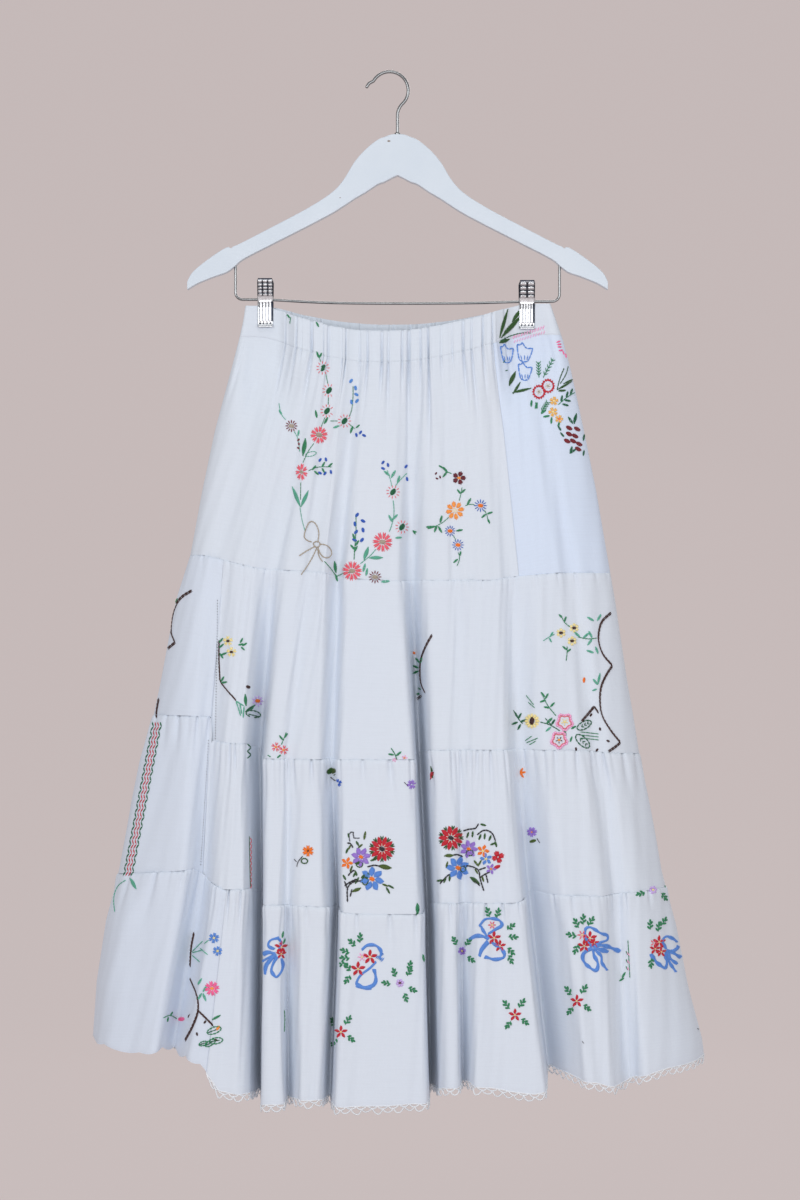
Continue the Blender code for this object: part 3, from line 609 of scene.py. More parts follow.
def heights_at(t, s):
    """Heights of points round one level. Down the cloth, s is 0 at the waist, 1 at the casing's
    stitch line, 2, 3 and 4 at the tier seams and 5 at the hem. Round it, t runs from 0 at the
    left side across the front to 1, and on across the back to 2."""
    back = t[-1] > 1.0
    waist = OUTLINE[0]
    start, end = (waist.right, waist.left) if back else (waist.left, waist.right)
    x = start + (end - start) * (t - (1.0 if back else 0.0))
    across = (x - (CLIP_RIGHT + CLIP_LEFT) / 2.0) * 2.0 / (CLIP_RIGHT - CLIP_LEFT)
    sag = WAIST_SAG_BACK if back else WAIST_SAG_FRONT
    level = WAIST_LEFT + (WAIST_RIGHT - WAIST_LEFT) * smooth((across + 1.0) / 2.0)
    top = level - sag * np.clip(1.0 - across * across, 0.0, None) ** 1.2
    places, *seams = np.array(HEIGHTS).T
    levels = [top, top - CASING_DEPTH]
    levels += [np.interp(t, places, seam) for seam in seams]
    step = min(int(s), 4)
    return levels[step] + (levels[step + 1] - levels[step]) * (s - step)


def by_level(values, s):
    """A value between levels 1 and 5 of a fold, or 0 and 5 of the depths."""
    return float(np.interp(s, np.arange(6 - len(values), 6), values))


def hermite(knots, t):
    """A smooth curve through (t, value) knots that never turns back, level at both ends."""
    places, values = np.array(knots).T
    rates = np.diff(values) / np.diff(places)
    slopes = np.zeros(len(places))
    same = rates[:-1] * rates[1:] > 0.0
    both = rates[:-1] + rates[1:]
    slopes[1:-1] = np.where(same, 2.0 * rates[:-1] * rates[1:] / np.where(same, both, 1.0), 0.0)
    step = np.clip(np.searchsorted(places, t) - 1, 0, len(places) - 2)
    width = places[step + 1] - places[step]
    u = np.clip((t - places[step]) / width, 0.0, 1.0)
    start = (1.0 + 2.0 * u) * (1.0 - u) ** 2 * values[step]
    end = u * u * (3.0 - 2.0 * u) * values[step + 1]
    return start + end + width * (u * (1.0 - u) ** 2 * slopes[step] - u * u * (1.0 - u) * slopes[step + 1])


def valleys(t, s):
    """How deep the folds draw the cloth in."""
    total = np.zeros(len(t))
    for fold in FOLDS:
        beside = np.clip(np.abs(t - fold.t) / (fold.cloth * FOLD_SPREAD), 0.0, 1.0)
        total += by_level(fold.deeps, s) * np.cos(beside * math.pi / 2.0) ** 2
    return total


def level_line(t, s):
    """Points of the smooth cloth round one level."""
    back = t[-1] > 1.0
    edge = 1.0 if back else 0.0
    z = heights_at(t, s)
    rows = np.array(OUTLINE)[::-1]
    ends = heights_at(np.array([edge, edge + 1.0]), s)
    if back:
        right_z, left_z = float(heights_at(np.array([0.5, 1.0]), s)[1]), float(ends[1])
    else:
        left_z, right_z = float(ends[0]), float(ends[1])
    left = float(np.interp(left_z, rows[:, 0], rows[:, 1]))
    right = float(np.interp(right_z, rows[:, 0], rows[:, 2]))
    knots = [(edge, right if back else left)]
    turn = -1.0 if back else 1.0
    for fold in FOLDS:
        if (fold.t > 1.0) != back:
            continue
        drawn = math.sqrt(by_level(fold.deeps, s) / max(fold.deeps))
        drawn *= float(smooth((s - FOLD_STARTS) / (2.0 - FOLD_STARTS)))
        even = fold.cloth * (right - left)
        place = by_level(fold.places, s)
        gaps = (fold.gap_right, fold.gap_left) if back else (fold.gap_left, fold.gap_right)
        knots.append((fold.t - fold.cloth, place - turn * (even + (gaps[0] - even) * drawn)))
        knots.append((fold.t, place + fold.lean * drawn))
        knots.append((fold.t + fold.cloth, place + turn * (even + (gaps[1] - even) * drawn)))
    knots.append((edge + 1.0, left if back else right))
    x = hermite(knots, t)
    across = (x - (left + right) / 2.0) / ((right - left) / 2.0)
    bulge = np.sqrt(np.clip(1.0 - np.abs(across) ** SQUARENESS, 0.0, None))
    deep = by_level([depth.back if back else depth.front for depth in DEPTHS], s)
    y = deep * bulge - np.minimum(valleys(t, s), np.clip(deep * bulge - ROOM, 0.0, None))
    near = np.maximum(1.0 - smooth((np.abs(x - CLIP_LEFT) - CLIP_REACH) / PINCH_FADE),
                      1.0 - smooth((np.abs(x - CLIP_RIGHT) - CLIP_REACH) / PINCH_FADE))
    near = near * (1.0 - smooth((WAIST_LEFT - PINCH_DOWN - z) / PINCH_DROP))
    y = y + (np.minimum(CLAMPED, y) - y) * near
    return np.stack((x, y if back else -y, z), axis=1)


# The gathers: furrows drawn up by a thread under each seam, uneven in place, depth and length,
# soft folds that run on down the tier, and the creases that the elastic makes in the casing.
TIER_CLOTH = (0.64, 1.05, 1.40, 1.90, 2.60)
GATHER = (0.011, 0.011, 0.0125, 0.0130, 0.0150)
GATHER_DEPTH = (0.0, 0.0, 0.0013, 0.0026, 0.0028)
GATHER_LENGTH = (0.0, 0.0, 0.016, 0.022, 0.026)
SOFT_FOLD = (0.0, 0.0012, 0.0016, 0.0020, 0.0026)
UNEVEN_RATES = (12.99, 78.23, 37.72, 57.11)
GATHER_WANDER = 0.36
GATHER_LEAN = 0.07
LENGTH_SPREAD = 0.65
SHARE = 0.58
SHARE_SPREAD = 0.42
FURROW_WIDTH = 0.0015
FURROW_OPENS = 0.06
GATHER_PUFF = 0.0016
PUFF_REACH = 0.020
DRIFT_PITCHES = (0.31, 0.19)
SOFT_PITCHES = (0.047, 0.079, 0.033)
FINE_PITCHES = (0.041, 0.067)
FINE_CREASE = 0.0004
Crease = namedtuple("Crease", "t wide deep up down")
CREASES = [Crease(*row) for row in (
    (0.030, 0.0016, 0.0013, 0.6, 0.050),
    (0.096, 0.0013, 0.0012, 0.5, 0.030),
    (0.118, 0.0011, 0.0010, 0.9, 0.022),
    (0.142, 0.0013, 0.0017, 1.0, 0.040),
    (0.192, 0.0012, 0.0014, 0.8, 0.034),
    (0.209, 0.0011, 0.0009, 0.4, 0.012),
    (0.240, 0.0014, 0.0016, 1.0, 0.046),
    (0.284, 0.0012, 0.0008, 0.7, 0.018),
    (0.310, 0.0013, 0.0012, 0.9, 0.030),
    (0.352, 0.0012, 0.0008, 0.6, 0.020),
    (0.374, 0.0012, 0.0013, 0.9, 0.026),
    (0.420, 0.0012, 0.0008, 0.8, 0.020),
    (0.444, 0.0013, 0.0014, 0.9, 0.038),
    (0.483, 0.0012, 0.0014, 1.0, 0.032),
    (0.500, 0.0011, 0.0012, 0.7, 0.052),
    (0.539, 0.0012, 0.0012, 0.9, 0.030),
    (0.561, 0.0018, 0.0019, 1.0, 0.085),
    (0.598, 0.0012, 0.0013, 0.9, 0.036),
    (0.623, 0.0013, 0.0018, 1.0, 0.110),
    (0.668, 0.0012, 0.0009, 0.6, 0.024),
    (0.702, 0.0012, 0.0009, 0.8, 0.018),
    (0.733, 0.0013, 0.0015, 1.0, 0.044),
    (0.756, 0.0011, 0.0013, 0.7, 0.060),
    (0.790, 0.0012, 0.0014, 1.0, 0.038),
    (0.822, 0.0013, 0.0016, 0.9, 0.050),
    (0.862, 0.0012, 0.0010, 0.8, 0.026),
    (0.915, 0.0013, 0.0012, 0.6, 0.036),
    (0.968, 0.0014, 0.0010, 0.8, 0.030),
)]
CREASES += [crease._replace(t=2.0 - 0.985 * crease.t) for crease in CREASES]
CREASED = 2.1
CASING_GROOVE = 0.0003
STITCH_LINE = 0.0015
STITCH_WIDTH = 0.0012
HEM_TURN = 0.0090
HEM_STEP = 0.0003
SCALLOP = 0.0330
SCALLOP_DEPTH = 0.0042
PATCH_EDGE = 0.150
WALL_CALM = 0.80
WALL_DEPTH = 0.030


def uneven(u, seed, pitches, weights):
    """A smooth uneven wave along the cloth, between about -1 and 1."""
    total = np.zeros_like(u)
    for k, (pitch, weight) in enumerate(zip(pitches, weights)):
        total += weight * np.sin(math.tau * u / pitch + 1.7 * seed + 2.3 * k)
    return total / sum(weights)


def furrow(beside, wide):
    """The section of a crease: a narrow valley between two low shoulders."""
    valley = np.exp(-((beside / wide) ** 2))
    return 0.30 * np.exp(-(((np.abs(beside) - 2.4 * wide) / (1.5 * wide)) ** 2)) - valley


def gathers(u, drop, tier, seed):
    """Furrows below a gathered seam, each with its own place, depth, length and lean."""
    pitch = GATHER[tier]
    total = np.zeros_like(u)
    for step in (-1.0, 0.0, 1.0):
        count = np.rint(u / pitch) + step
        wander, depth, length, lean = (np.sin(count * rate + seed) for rate in UNEVEN_RATES)
        beside = u - pitch * (count + GATHER_WANDER * wander) - GATHER_LEAN * lean * drop
        reach = GATHER_LENGTH[tier] * (1.0 + LENGTH_SPREAD * length)
        fade = (SHARE + SHARE_SPREAD * depth) * np.exp(-((drop / reach) ** 1.4))
        total += fade * furrow(beside, FURROW_WIDTH + FURROW_OPENS * drop)
    puff = GATHER_PUFF * np.exp(-((drop / PUFF_REACH) ** 1.5)) * smooth(drop / 0.003)
    return GATHER_DEPTH[tier] * (total + 0.10) + puff


def waist_creases(t, drop, tier, girth):
    """The elastic's creases, in the casing above its stitching or in the tier below it."""
    total = np.zeros_like(t)
    for crease in CREASES:
        if tier == 0:
            fade = crease.up * (0.55 + 0.45 * smooth(drop / CASING_DEPTH))
        else:
            fade = np.exp(-((drop / crease.down) ** 1.5))
        beside = (t - crease.t) * girth
        total += crease.deep * furrow(beside, 0.85 * crease.wide + 0.02 * drop * (tier > 0)) * fade
    return CREASED * total


def cloth_relief(tier, t, s, drop, rise, girth):
    """How far creases and folds stand out, by the drop below a seam and the rise above the next."""
    u = t / 2.0 * TIER_CLOTH[tier]
    if tier == 0:
        groove = -CASING_GROOVE * np.exp(-(((rise - STITCH_LINE) / STITCH_WIDTH) ** 2))
        return waist_creases(t, drop, 0, girth) + groove
    seed = 2.0 * tier + 0.7
    found = waist_creases(t, drop, 1, girth) if tier == 1 else gathers(u, drop, tier, seed)
    drift = u + 0.10 * uneven(u, seed, DRIFT_PITCHES, (1.0, 0.6)) * drop
    soft = uneven(drift, seed + 8.0, SOFT_PITCHES, (1.0, 1.1, 0.5))
    found += SOFT_FOLD[tier] * soft * smooth(drop / 0.05)
    found += FINE_CREASE * uneven(u * 3.0 + drop * 0.4, seed + 2.0, FINE_PITCHES, (1.0, 1.0))
    if tier == 4:
        found += HEM_STEP * smooth((HEM_TURN - rise) / 0.001)
    calm = 1.0 - WALL_CALM * np.clip(valleys(t, s) / WALL_DEPTH, 0.0, 1.0)
    return found * calm


# The panels: each cut is a sheet of linen over its own stretch of its tier, 0.8 mm thick, the
# casing of two layers. Joins dip a little, the left patch of tier 4 has a scalloped edge, and
# four linens of slightly different whites are used, as the old tablecloths had them.
CASING_LAYERS = 1.8
FINE_STEPS = 3001
ROW_CROWDING = 1.25
JOIN_DIP = 0.0003
JOIN_WIDTH = 0.0012
CLIP_CLEAR = 0.0042
CLIP_FADE = 0.008
HEM_WAVE = 0.0012
HEM_PITCHES = (0.031, 0.083)
WEAVE_BUMP = 0.0016
Panel = namedtuple("Panel", "name tier start end cut")
PANELS = (
    Panel("waistband_front", 0, 0.000, 1.000, "old_cloth"),
    Panel("waistband_back", 0, 1.000, 2.000, "old_cloth"),
    Panel("tier_1_front", 1, 0.000, 0.825, "old_cloth"),
    Panel("tier_1_patch", 1, 0.825, 1.130, "blue_white"),
    Panel("tier_1_back", 1, 1.130, 2.000, "white_cloth"),
    Panel("tier_2_left", 2, 0.000, 0.098, "cool_white"),
    Panel("tier_2_front", 2, 0.098, 1.000, "white_cloth"),
    Panel("tier_2_back", 2, 1.000, 2.000, "white_cloth"),
    Panel("tier_3_left", 3, 0.000, 0.098, "cool_white"),
    Panel("tier_3_front", 3, 0.098, 1.000, "white_cloth"),
    Panel("tier_3_back", 3, 1.000, 2.000, "white_cloth"),
    Panel("tier_4_left", 4, 0.000, 0.150, "cool_white"),
    Panel("tier_4_front", 4, 0.150, 1.000, "white_cloth"),
    Panel("tier_4_back", 4, 1.000, 2.000, "white_cloth"),
)
Tier = namedtuple("Tier", "rows front back")
TIERS = (
    Tier(14, 620, 310),
    Tier(42, 620, 310),
    Tier(36, 700, 340),
    Tier(34, 760, 360),
    Tier(40, 820, 400),
)


def tier_grid(tier, back):
    """Points, t and cloth coordinates of one tier's face, as arrays of rows by columns."""
    plan = TIERS[tier]
    count = plan.back if back else plan.front
    rows = plan.rows // 2 if back else plan.rows
    fine = np.linspace(0.0, 1.0, FINE_STEPS) + (1.0 if back else 0.0)
    low = level_line(fine, min(tier + 0.9, 4.9))
    steps = np.linalg.norm(np.diff(low, axis=0), axis=1) + 0.0001
    length = np.concatenate(([0.0], np.cumsum(steps)))
    t = np.interp(np.linspace(0.0, length[-1], count + 1), length, fine)
    edges = [edge for panel in PANELS if panel.tier == tier for edge in (panel.start, panel.end)]
    for edge in edges:
        if t[0] < edge < t[-1]:
            t[np.argmin(np.abs(t - edge))] = edge
    shares = np.linspace(0.0, 1.0, rows + 1)
    if tier > 0:
        shares = shares ** ROW_CROWDING
    points = np.array([level_line(t, tier + share) for share in shares])
    tops = points[0, :, 2]
    ends = points[-1, :, 2]
    along_t = np.gradient(points, axis=1)
    along_s = np.gradient(points, axis=0)
    normals = np.cross(along_s, along_t)
    normals /= np.linalg.norm(normals, axis=2, keepdims=True) + 1e-12
    for row, share in enumerate(shares):
        drop = tops - points[row, :, 2]
        rise = points[row, :, 2] - ends
        y = np.abs(points[row, :, 1])
        clear = smooth((y - CLIP_CLEAR) / CLIP_FADE)
        girth = np.linalg.norm(np.diff(points[row], axis=0), axis=1).sum()
        stand = cloth_relief(tier, t, tier + share, drop, rise, girth) * clear
        for edge in edges:
            if 0.0 < edge < 2.0 and edge != 1.0:
                beside = np.linalg.norm(points[row] - points[row, np.argmin(np.abs(t - edge))], axis=1)
                stand -= JOIN_DIP * np.exp(-(beside / JOIN_WIDTH) ** 2)
        points[row] += normals[row] * stand[:, None]
        if tier == 4:
            scallops = t < PATCH_EDGE
            wave = np.abs(np.sin(math.pi * t / 2.0 * TIER_CLOTH[4] / SCALLOP))
            points[row, :, 2] += np.where(scallops, SCALLOP_DEPTH * (0.6 - wave) * share ** 8, 0.0)
            points[row, :, 2] += HEM_WAVE * uneven(t, 4.0, HEM_PITCHES, (1.0, 1.0)) * share ** 4
    cloth_u = np.tile(t / 2.0 * TIER_CLOTH[tier], (rows + 1, 1))
    cloth_v = points[..., 2] - tops[None, :]
    return points, t, np.stack((cloth_u, cloth_v), axis=2)


def linen(name, warm, cool):
    """Plain-woven linen: uneven threads both ways, faint creases and a soft bloom of colour."""
    finish = Finish(name, Roughness=0.92, Sheen_Weight=0.12, Sheen_Roughness=0.45)
    warp = finish.noise(finish.place(uv="cloth", stretch=(2200.0, 60.0, 1.0)), 1.0, 2.0)
    weft = finish.noise(finish.place(uv="cloth", stretch=(60.0, 2200.0, 1.0)), 1.0, 2.0)
    slub = finish.noise(finish.place(uv="cloth", stretch=(40.0, 700.0, 1.0)), 1.0, 3.0)
    crease = finish.noise(finish.place(uv="cloth", stretch=(120.0, 9.0, 1.0)), 1.0, 3.0, 0.55)
    crumple = finish.noise(finish.place(uv="cloth"), 55.0, 4.0, 0.6)
    bloom = finish.noise(finish.place(), 5.5, 3.0)
    colour = finish.blend(bloom, warm, cool)
    colour = finish.blend((slub - 0.42) * 0.3, colour, (0.50, 0.54, 0.62, 1.0))
    finish.feed("Base Color", colour)
    finish.feed("Roughness", 0.86 + 0.10 * warp)
    height = warp * 0.07 + weft * 0.07 + slub * 0.05 + crease * 0.55 + crumple * 0.25
    finish.bump(height, WEAVE_BUMP, 0.45)
    return finish


linens = {
    "old_cloth": linen("linen_old", (0.675, 0.725, 0.805, 1.0), (0.650, 0.720, 0.810, 1.0)),
    "white_cloth": linen("linen_white", (0.670, 0.725, 0.800, 1.0), (0.650, 0.715, 0.820, 1.0)),
    "cool_white": linen("linen_cool_white", (0.650, 0.712, 0.805, 1.0), (0.630, 0.700, 0.820, 1.0)),
    "blue_white": linen("linen_blue_white", (0.652, 0.735, 0.872, 1.0), (0.632, 0.725, 0.882, 1.0)),
}


def sheet_mesh(name, points, coords):
    """A grid moved onto rows of points, with the cloth's own coordinates as its UV map."""
    rows, columns = points.shape[:2]
    bm = bmesh.new()
    bmesh.ops.create_grid(bm, x_segments=columns - 1, y_segments=rows - 1, size=1.0)
    mesh = bpy.data.meshes.new(name)
    bm.to_mesh(mesh)
    bm.free()
    flat = np.empty(len(mesh.vertices) * 3)
    mesh.vertices.foreach_get("co", flat)
    flat = flat.reshape(-1, 3)
    column = np.rint((flat[:, 0] + 1.0) / 2.0 * (columns - 1)).astype(int)
    row = np.rint((1.0 - flat[:, 1]) / 2.0 * (rows - 1)).astype(int)
    mesh.vertices.foreach_set("co", points[row, column].ravel())
    corners = np.empty(len(mesh.loops), int)
    mesh.loops.foreach_get("vertex_index", corners)
    uv = mesh.uv_layers.new(name="cloth")
    uv.data.foreach_set("uv", coords[row, column][corners].ravel())
    mesh.update()
    mesh.shade_smooth()
    return mesh


grids = {}
cloth_faces = []
for panel in PANELS:
    parts = []
    if panel.start < 1.0:
        parts.append((panel.start, min(panel.end, 1.0), False))
    if panel.end > 1.0:
        parts.append((max(panel.start, 1.0), panel.end, True))
    strips = []
    for start, end, behind in parts:
        if (panel.tier, behind) not in grids:
            grids[panel.tier, behind] = tier_grid(panel.tier, behind)
        points, t, coords = grids[panel.tier, behind]
        chosen = (t >= start - 1e-9) & (t <= end + 1e-9)
        strips.append((points[:, chosen], coords[:, chosen]))
    for number, (points, coords) in enumerate(strips):
        name = f"cloth_{panel.name}" if number == 0 else f"cloth_{panel.name}_turned"
        mesh = sheet_mesh(name, points, coords)
        cut = piece(name, mesh, linens[panel.cut], [panel.name])
        thickness = cut.modifiers.new("thickness", "SOLIDIFY")
        thickness.thickness = CLOTH * (CASING_LAYERS if panel.tier == 0 else 1.0)
        thickness.offset = -1.0
        cut.modifiers.new("even_shading", "WEIGHTED_NORMAL")
        round_rows = np.linalg.norm(np.diff(points, axis=1), axis=2).sum(axis=1)
        cut_width = round((round_rows.mean() + round_rows.max()) / 2.0, 3)
        cloth_faces.append(points)

# The embroidery: stranded cotton in many colours, kept from the old tablecloths. Stems are
# worked in stem stitch, petals and leaves in satin stitch and loops, centres in knots. Motifs
# are placed as they show in the photo, x and y in its pixels, and later laid on the cloth.
HANGER_WIDTH = 0.44
HANGER_PIXELS = 420.0
PX = HANGER_WIDTH / HANGER_PIXELS
ORIGIN_X = 389.6
ORIGIN_Y = 73.4
PHOTO_WIDTH = 800.0
PHOTO_HEIGHT = 1200.0
EYE_AWAY = 3.0
EYE = Vector(((PHOTO_WIDTH / 2.0 - ORIGIN_X) * PX, -EYE_AWAY, -(PHOTO_HEIGHT / 2.0 - ORIGIN_Y) * PX))
STEM_STITCH = 3.4
STEM_OVERLAP = 0.30
SATIN_PITCH = 0.78
SATIN_LEAN = 0.35
SATIN_LEAF = 9.0
THREADS = {
    "mint": (92, 174, 148), "leaf": (44, 134, 90), "fern": (14, 98, 62), "moss": (44, 88, 34),
    "coral": (236, 100, 118), "rose": (238, 100, 112), "taupe": (172, 160, 144),
    "maroon": (100, 14, 34), "orange": (248, 156, 70), "amber": (242, 122, 26),
    "blue": (48, 94, 190), "sky": (88, 146, 220), "bow": (90, 142, 220), "pink": (250, 172, 214),
    "hot_pink": (250, 104, 160), "bark": (62, 30, 26), "butter": (246, 228, 158),
    "red": (198, 26, 48), "purple": (156, 122, 212), "lilac": (206, 176, 236),
    "black": (36, 34, 40), "cream": (232, 222, 204), "olive": (72, 96, 30),
    "wine": (122, 8, 28), "grey": (92, 94, 100), "straw": (245, 190, 96),
}
work = []


def stitch(x0, y0, x1, y1, dye, width=1.0):
    """One straight stitch from hole to hole, in the photo's plane."""
    work.append((x0, y0, x1, y1, width, dye))


def away(x, y, turn, length):
    """The place at a length from another, its direction in degrees up from the right."""
    a = math.radians(turn)
    return x + length * math.cos(a), y - length * math.sin(a)


def line(points, dye, width=1.0, length=STEM_STITCH):
    """Stem stitch along a soft curve: short slanting stitches that overlap like a rope."""
    curve = rounded(points, 8) if len(points) > 2 else np.array(points, float)
    steps = np.concatenate(([0.0], np.cumsum(np.linalg.norm(np.diff(curve, axis=0), axis=1))))
    count = max(int(round(steps[-1] / length)), 1)
    marks = np.linspace(0.0, steps[-1], count + 1)
    for low, high in zip(marks, marks[1:]):
        high = min(high + STEM_OVERLAP * (high - low), steps[-1])
        x0, x1 = np.interp((low, high), steps, curve[:, 0])
        y0, y1 = np.interp((low, high), steps, curve[:, 1])
        stitch(x0, y0, x1, y1, dye, width)


def fill(x, y, along, across, turn, dye, pointed=False, width=0.9):
    """Satin stitch: threads laid side by side over an oval or a pointed leaf."""
    turn = math.radians(turn)
    ux, uy = math.cos(turn), -math.sin(turn)
    count = max(int(round(2.0 * along / SATIN_PITCH)), 2)
    for place in (np.arange(count) + 0.5) / count * 2.0 - 1.0:
        half = across * ((1.0 - place * place) if pointed else math.sqrt(1.0 - place * place))
        half = max(half, 0.35)
        px, py = x + ux * along * place, y + uy * along * place
        lean = SATIN_LEAN * half
        stitch(px + uy * half - ux * lean, py - ux * half - uy * lean,
               px - uy * half + ux * lean, py + ux * half + uy * lean, dye, width)


def leaf(x, y, turn, long, dye, wide=None):
    """A small leaf from its base outwards: long stitches side by side, or satin if it is big."""
    wide = long * 0.22 if wide is None else wide
    if long > SATIN_LEAF:
        fill(*away(x, y, turn, long / 2.0), long / 2.0, wide, turn, dye, pointed=True)
        return
    for side in (-1.0, 0.0, 1.0) if wide > 0.9 else (0.0,):
        mx, my = away(*away(x, y, turn, long * 0.5), turn + 90.0, side * wide * 0.5)
        stitch(x, y, mx + (mx - x) * 0.15, my + (my - y) * 0.15, dye, 0.95)
        stitch(mx, my, *away(x, y, turn, long), dye, 0.95)


def daisy(x, y, inner, outer, count, petal, centre, turn=0.0, squash=1.0, width=1.0, fan=1):
    """A flower of loop petals, each of one to three threads, round a knotted centre."""
    open_by = 0.36 if fan == 2 else 0.44
    for k in range(count):
        a = math.radians(turn + 360.0 * k / count)
        for side in np.linspace(-1.0, 1.0, fan) if fan > 1 else (0.0,):
            tip_a = a + side * math.pi / count * open_by
            root_a = (a + tip_a) / 2.0
            tip = outer * (1.0 - 0.10 * abs(side))
            stitch(x + inner * math.cos(root_a) * squash, y - inner * math.sin(root_a),
                   x + tip * math.cos(tip_a) * squash, y - tip * math.sin(tip_a), petal, width)
    if centre:
        knot = max(inner * 0.9, 0.8)
        fill(x, y, max(inner * 0.9 * squash, 0.8), knot, 20.0, centre, width=1.05)


def buds(places, dye, size=2.2):
    """Small oval buds in satin stitch, each turned a little more than the last."""
    for number, (x, y) in enumerate(places):
        fill(x, y, size, size * 0.72, 60.0 + 50.0 * (number % 3), dye, width=1.0)


def hoop(x, y, rx, ry, dye, width=1.0, teeth=0, turn=0.0, lobes=0, deep=0.2):
    """An outline round a centre, lobed for petals, with short stitches outwards for teeth."""
    c, s = math.cos(math.radians(turn)), math.sin(math.radians(turn))
    points = []
    for a in np.radians(np.linspace(0.0, 360.0, lobes * 8 + 1 if lobes else 24)):
        out = 1.0 - deep * (0.5 + 0.5 * math.cos(lobes * a)) if lobes else 1.0
        px, py = rx * out * math.cos(a), -ry * out * math.sin(a)
        points.append((x + px * c + py * s, y - px * s + py * c))
    for k in range(0, len(points) - 1, 2):
        stitch(*points[k], *points[min(k + 2, len(points) - 1)], dye, width)
    for k in range(teeth):
        a = math.radians(360.0 * k / teeth)
        stitch(x + rx * 0.8 * math.cos(a), y - ry * 0.8 * math.sin(a),
               x + rx * 1.25 * math.cos(a), y - ry * 1.25 * math.sin(a), dye, width)


# Tier 1, left and centre: a trailing wreath of coral flowers, green-eyed daisies and blue buds
# on mint and leaf-green stems, with a bow in taupe stem stitch at its foot.
for route, dye, width in (
    (((317, 352), (321, 362)), "leaf", 0.7), (((326, 374), (328, 384)), "leaf", 0.7),
    (((328.5, 397), (328, 405)), "leaf", 0.7), (((325, 417), (321, 427)), "leaf", 0.7),
    (((314, 443), (308, 452), (303, 463)), "leaf", 0.7), (((301, 482), (300.5, 500)), "leaf", 0.7),
    (((330, 421), (338, 421)), "leaf", 0.7),
    (((349, 417), (352, 408), (353, 395), (353, 386)), "leaf", 0.7),
    (((349, 424), (355, 429)), "leaf", 0.7), (((286, 420), (281, 414), (279, 403)), "mint", 0.7),
    (((294, 431), (298, 439), (300, 452)), "mint", 0.7),
    (((308, 471), (318, 467), (332, 467)), "leaf", 0.7),
    (((324, 561), (331, 569), (337, 577), (341, 574), (352, 572)), "leaf", 0.8),
    (((354, 560), (355, 545), (356, 528), (356, 514)), "leaf", 0.8),
    (((360, 564), (370, 556), (376, 549)), "mint", 0.8),
    (((389, 532), (392, 524), (394, 512), (393, 500)), "mint", 0.8),
    (((392, 487), (390, 478), (387, 470)), "mint", 0.7),
    (((395, 486), (401, 479), (407, 473)), "mint", 0.7), (((409, 527), (413, 533)), "leaf", 0.7),
):
    line(route, dye, width)
for route, dye, width, length in (
    (((300, 507), (302, 520), (305, 531)), "mint", 0.7, 4.5),
    (((312, 542), (306, 540), (304, 535), (309, 522), (315, 523), (319, 532),
      (318, 542)), "taupe", 1.15, 3.2),
    (((319, 544), (326, 545), (331, 550), (331, 556), (325, 558), (320, 553),
      (318, 547)), "taupe", 1.15, 3.2),
    (((316, 546), (308, 550), (299, 556)), "taupe", 1.15, 3.2),
    (((317, 548), (311, 560), (301, 575)), "taupe", 1.15, 3.2),
    (((318, 548), (319, 556), (323, 562)), "taupe", 1.15, 3.2),
    (((313, 543), (318, 541), (321, 545), (316, 548), (313, 543)), "taupe", 1.15, 3.2),
):
    line(route, dye, width, length)
for x, y, turn, long, dye in (
    (319, 358, 110, 7, "leaf"), (319, 358, 60, 6, "leaf"), (353, 426, 250, 8, "leaf"),
    (356, 428, 40, 5, "leaf"), (317, 418, 100, 8, "leaf"), (324, 424, 60, 8, "leaf"),
    (333, 428, 20, 7, "mint"), (282, 415, 120, 6, "mint"), (298, 436, 80, 6, "mint"),
    (312, 470, 50, 6, "leaf"), (314, 471, -40, 6, "leaf"), (322, 467, 60, 6, "leaf"),
    (322, 468, -60, 6, "leaf"), (328, 467, 40, 6, "leaf"), (335, 574, 290, 8, "leaf"),
    (363, 572, 75, 9, "mint"), (366, 576, 80, 8, "mint"), (381, 582, 5, 9, "mint"),
    (354, 552, 60, 7, "leaf"), (355, 550, 130, 7, "leaf"), (355, 540, 110, 7, "leaf"),
    (355, 546, 55, 7, "leaf"), (392, 522, 115, 8, "mint"), (392, 520, 45, 8, "mint"),
    (395, 538, 5, 7, "mint"), (391, 478, 60, 9, "mint"), (390, 476, 140, 8, "mint"),
    (397, 483, 70, 8, "mint"), (411, 531, 350, 6, "leaf"), (413, 530, 300, 5, "leaf"),
):
    leaf(x, y, turn, long, dye)
for x, y, turn, long, dye, wide in (
    (303, 456, 82, 18, "leaf", 2.4), (300.5, 507, 112, 22, "mint", 2.0),
    (301, 507, 66, 18, "mint", 2.0), (336, 573, 98, 12, "leaf", 1.8), (364, 560, 72, 14, "mint", 2.2),
    (369, 558, 2, 14, "mint", 2.0),
):
    leaf(x, y, turn, long, dye, wide)
hoop(311, 454, rx=5.5, ry=2.2, dye="mint", width=0.8, turn=15)
for x, y, inner, outer, count, petal, centre, width in (
    (323, 368, 4.0, 7.0, 11, "rose", None, 0.7), (329, 390.5, 4.0, 7.0, 11, "rose", None, 0.7),
    (327, 411, 4.0, 7.0, 11, "rose", None, 0.7), (344.5, 421, 4.0, 7.0, 11, "rose", None, 0.7),
    (291.4, 426, 2.6, 6.2, 12, "wine", "taupe", 0.95), (375, 577, 2.8, 6.6, 12, "wine", "taupe", 0.95),
    (393, 492, 4.0, 7.0, 11, "rose", None, 0.7), (402, 527, 4.0, 7.0, 11, "rose", None, 0.7),
):
    daisy(x, y, inner, outer, count, petal, centre, width=width)
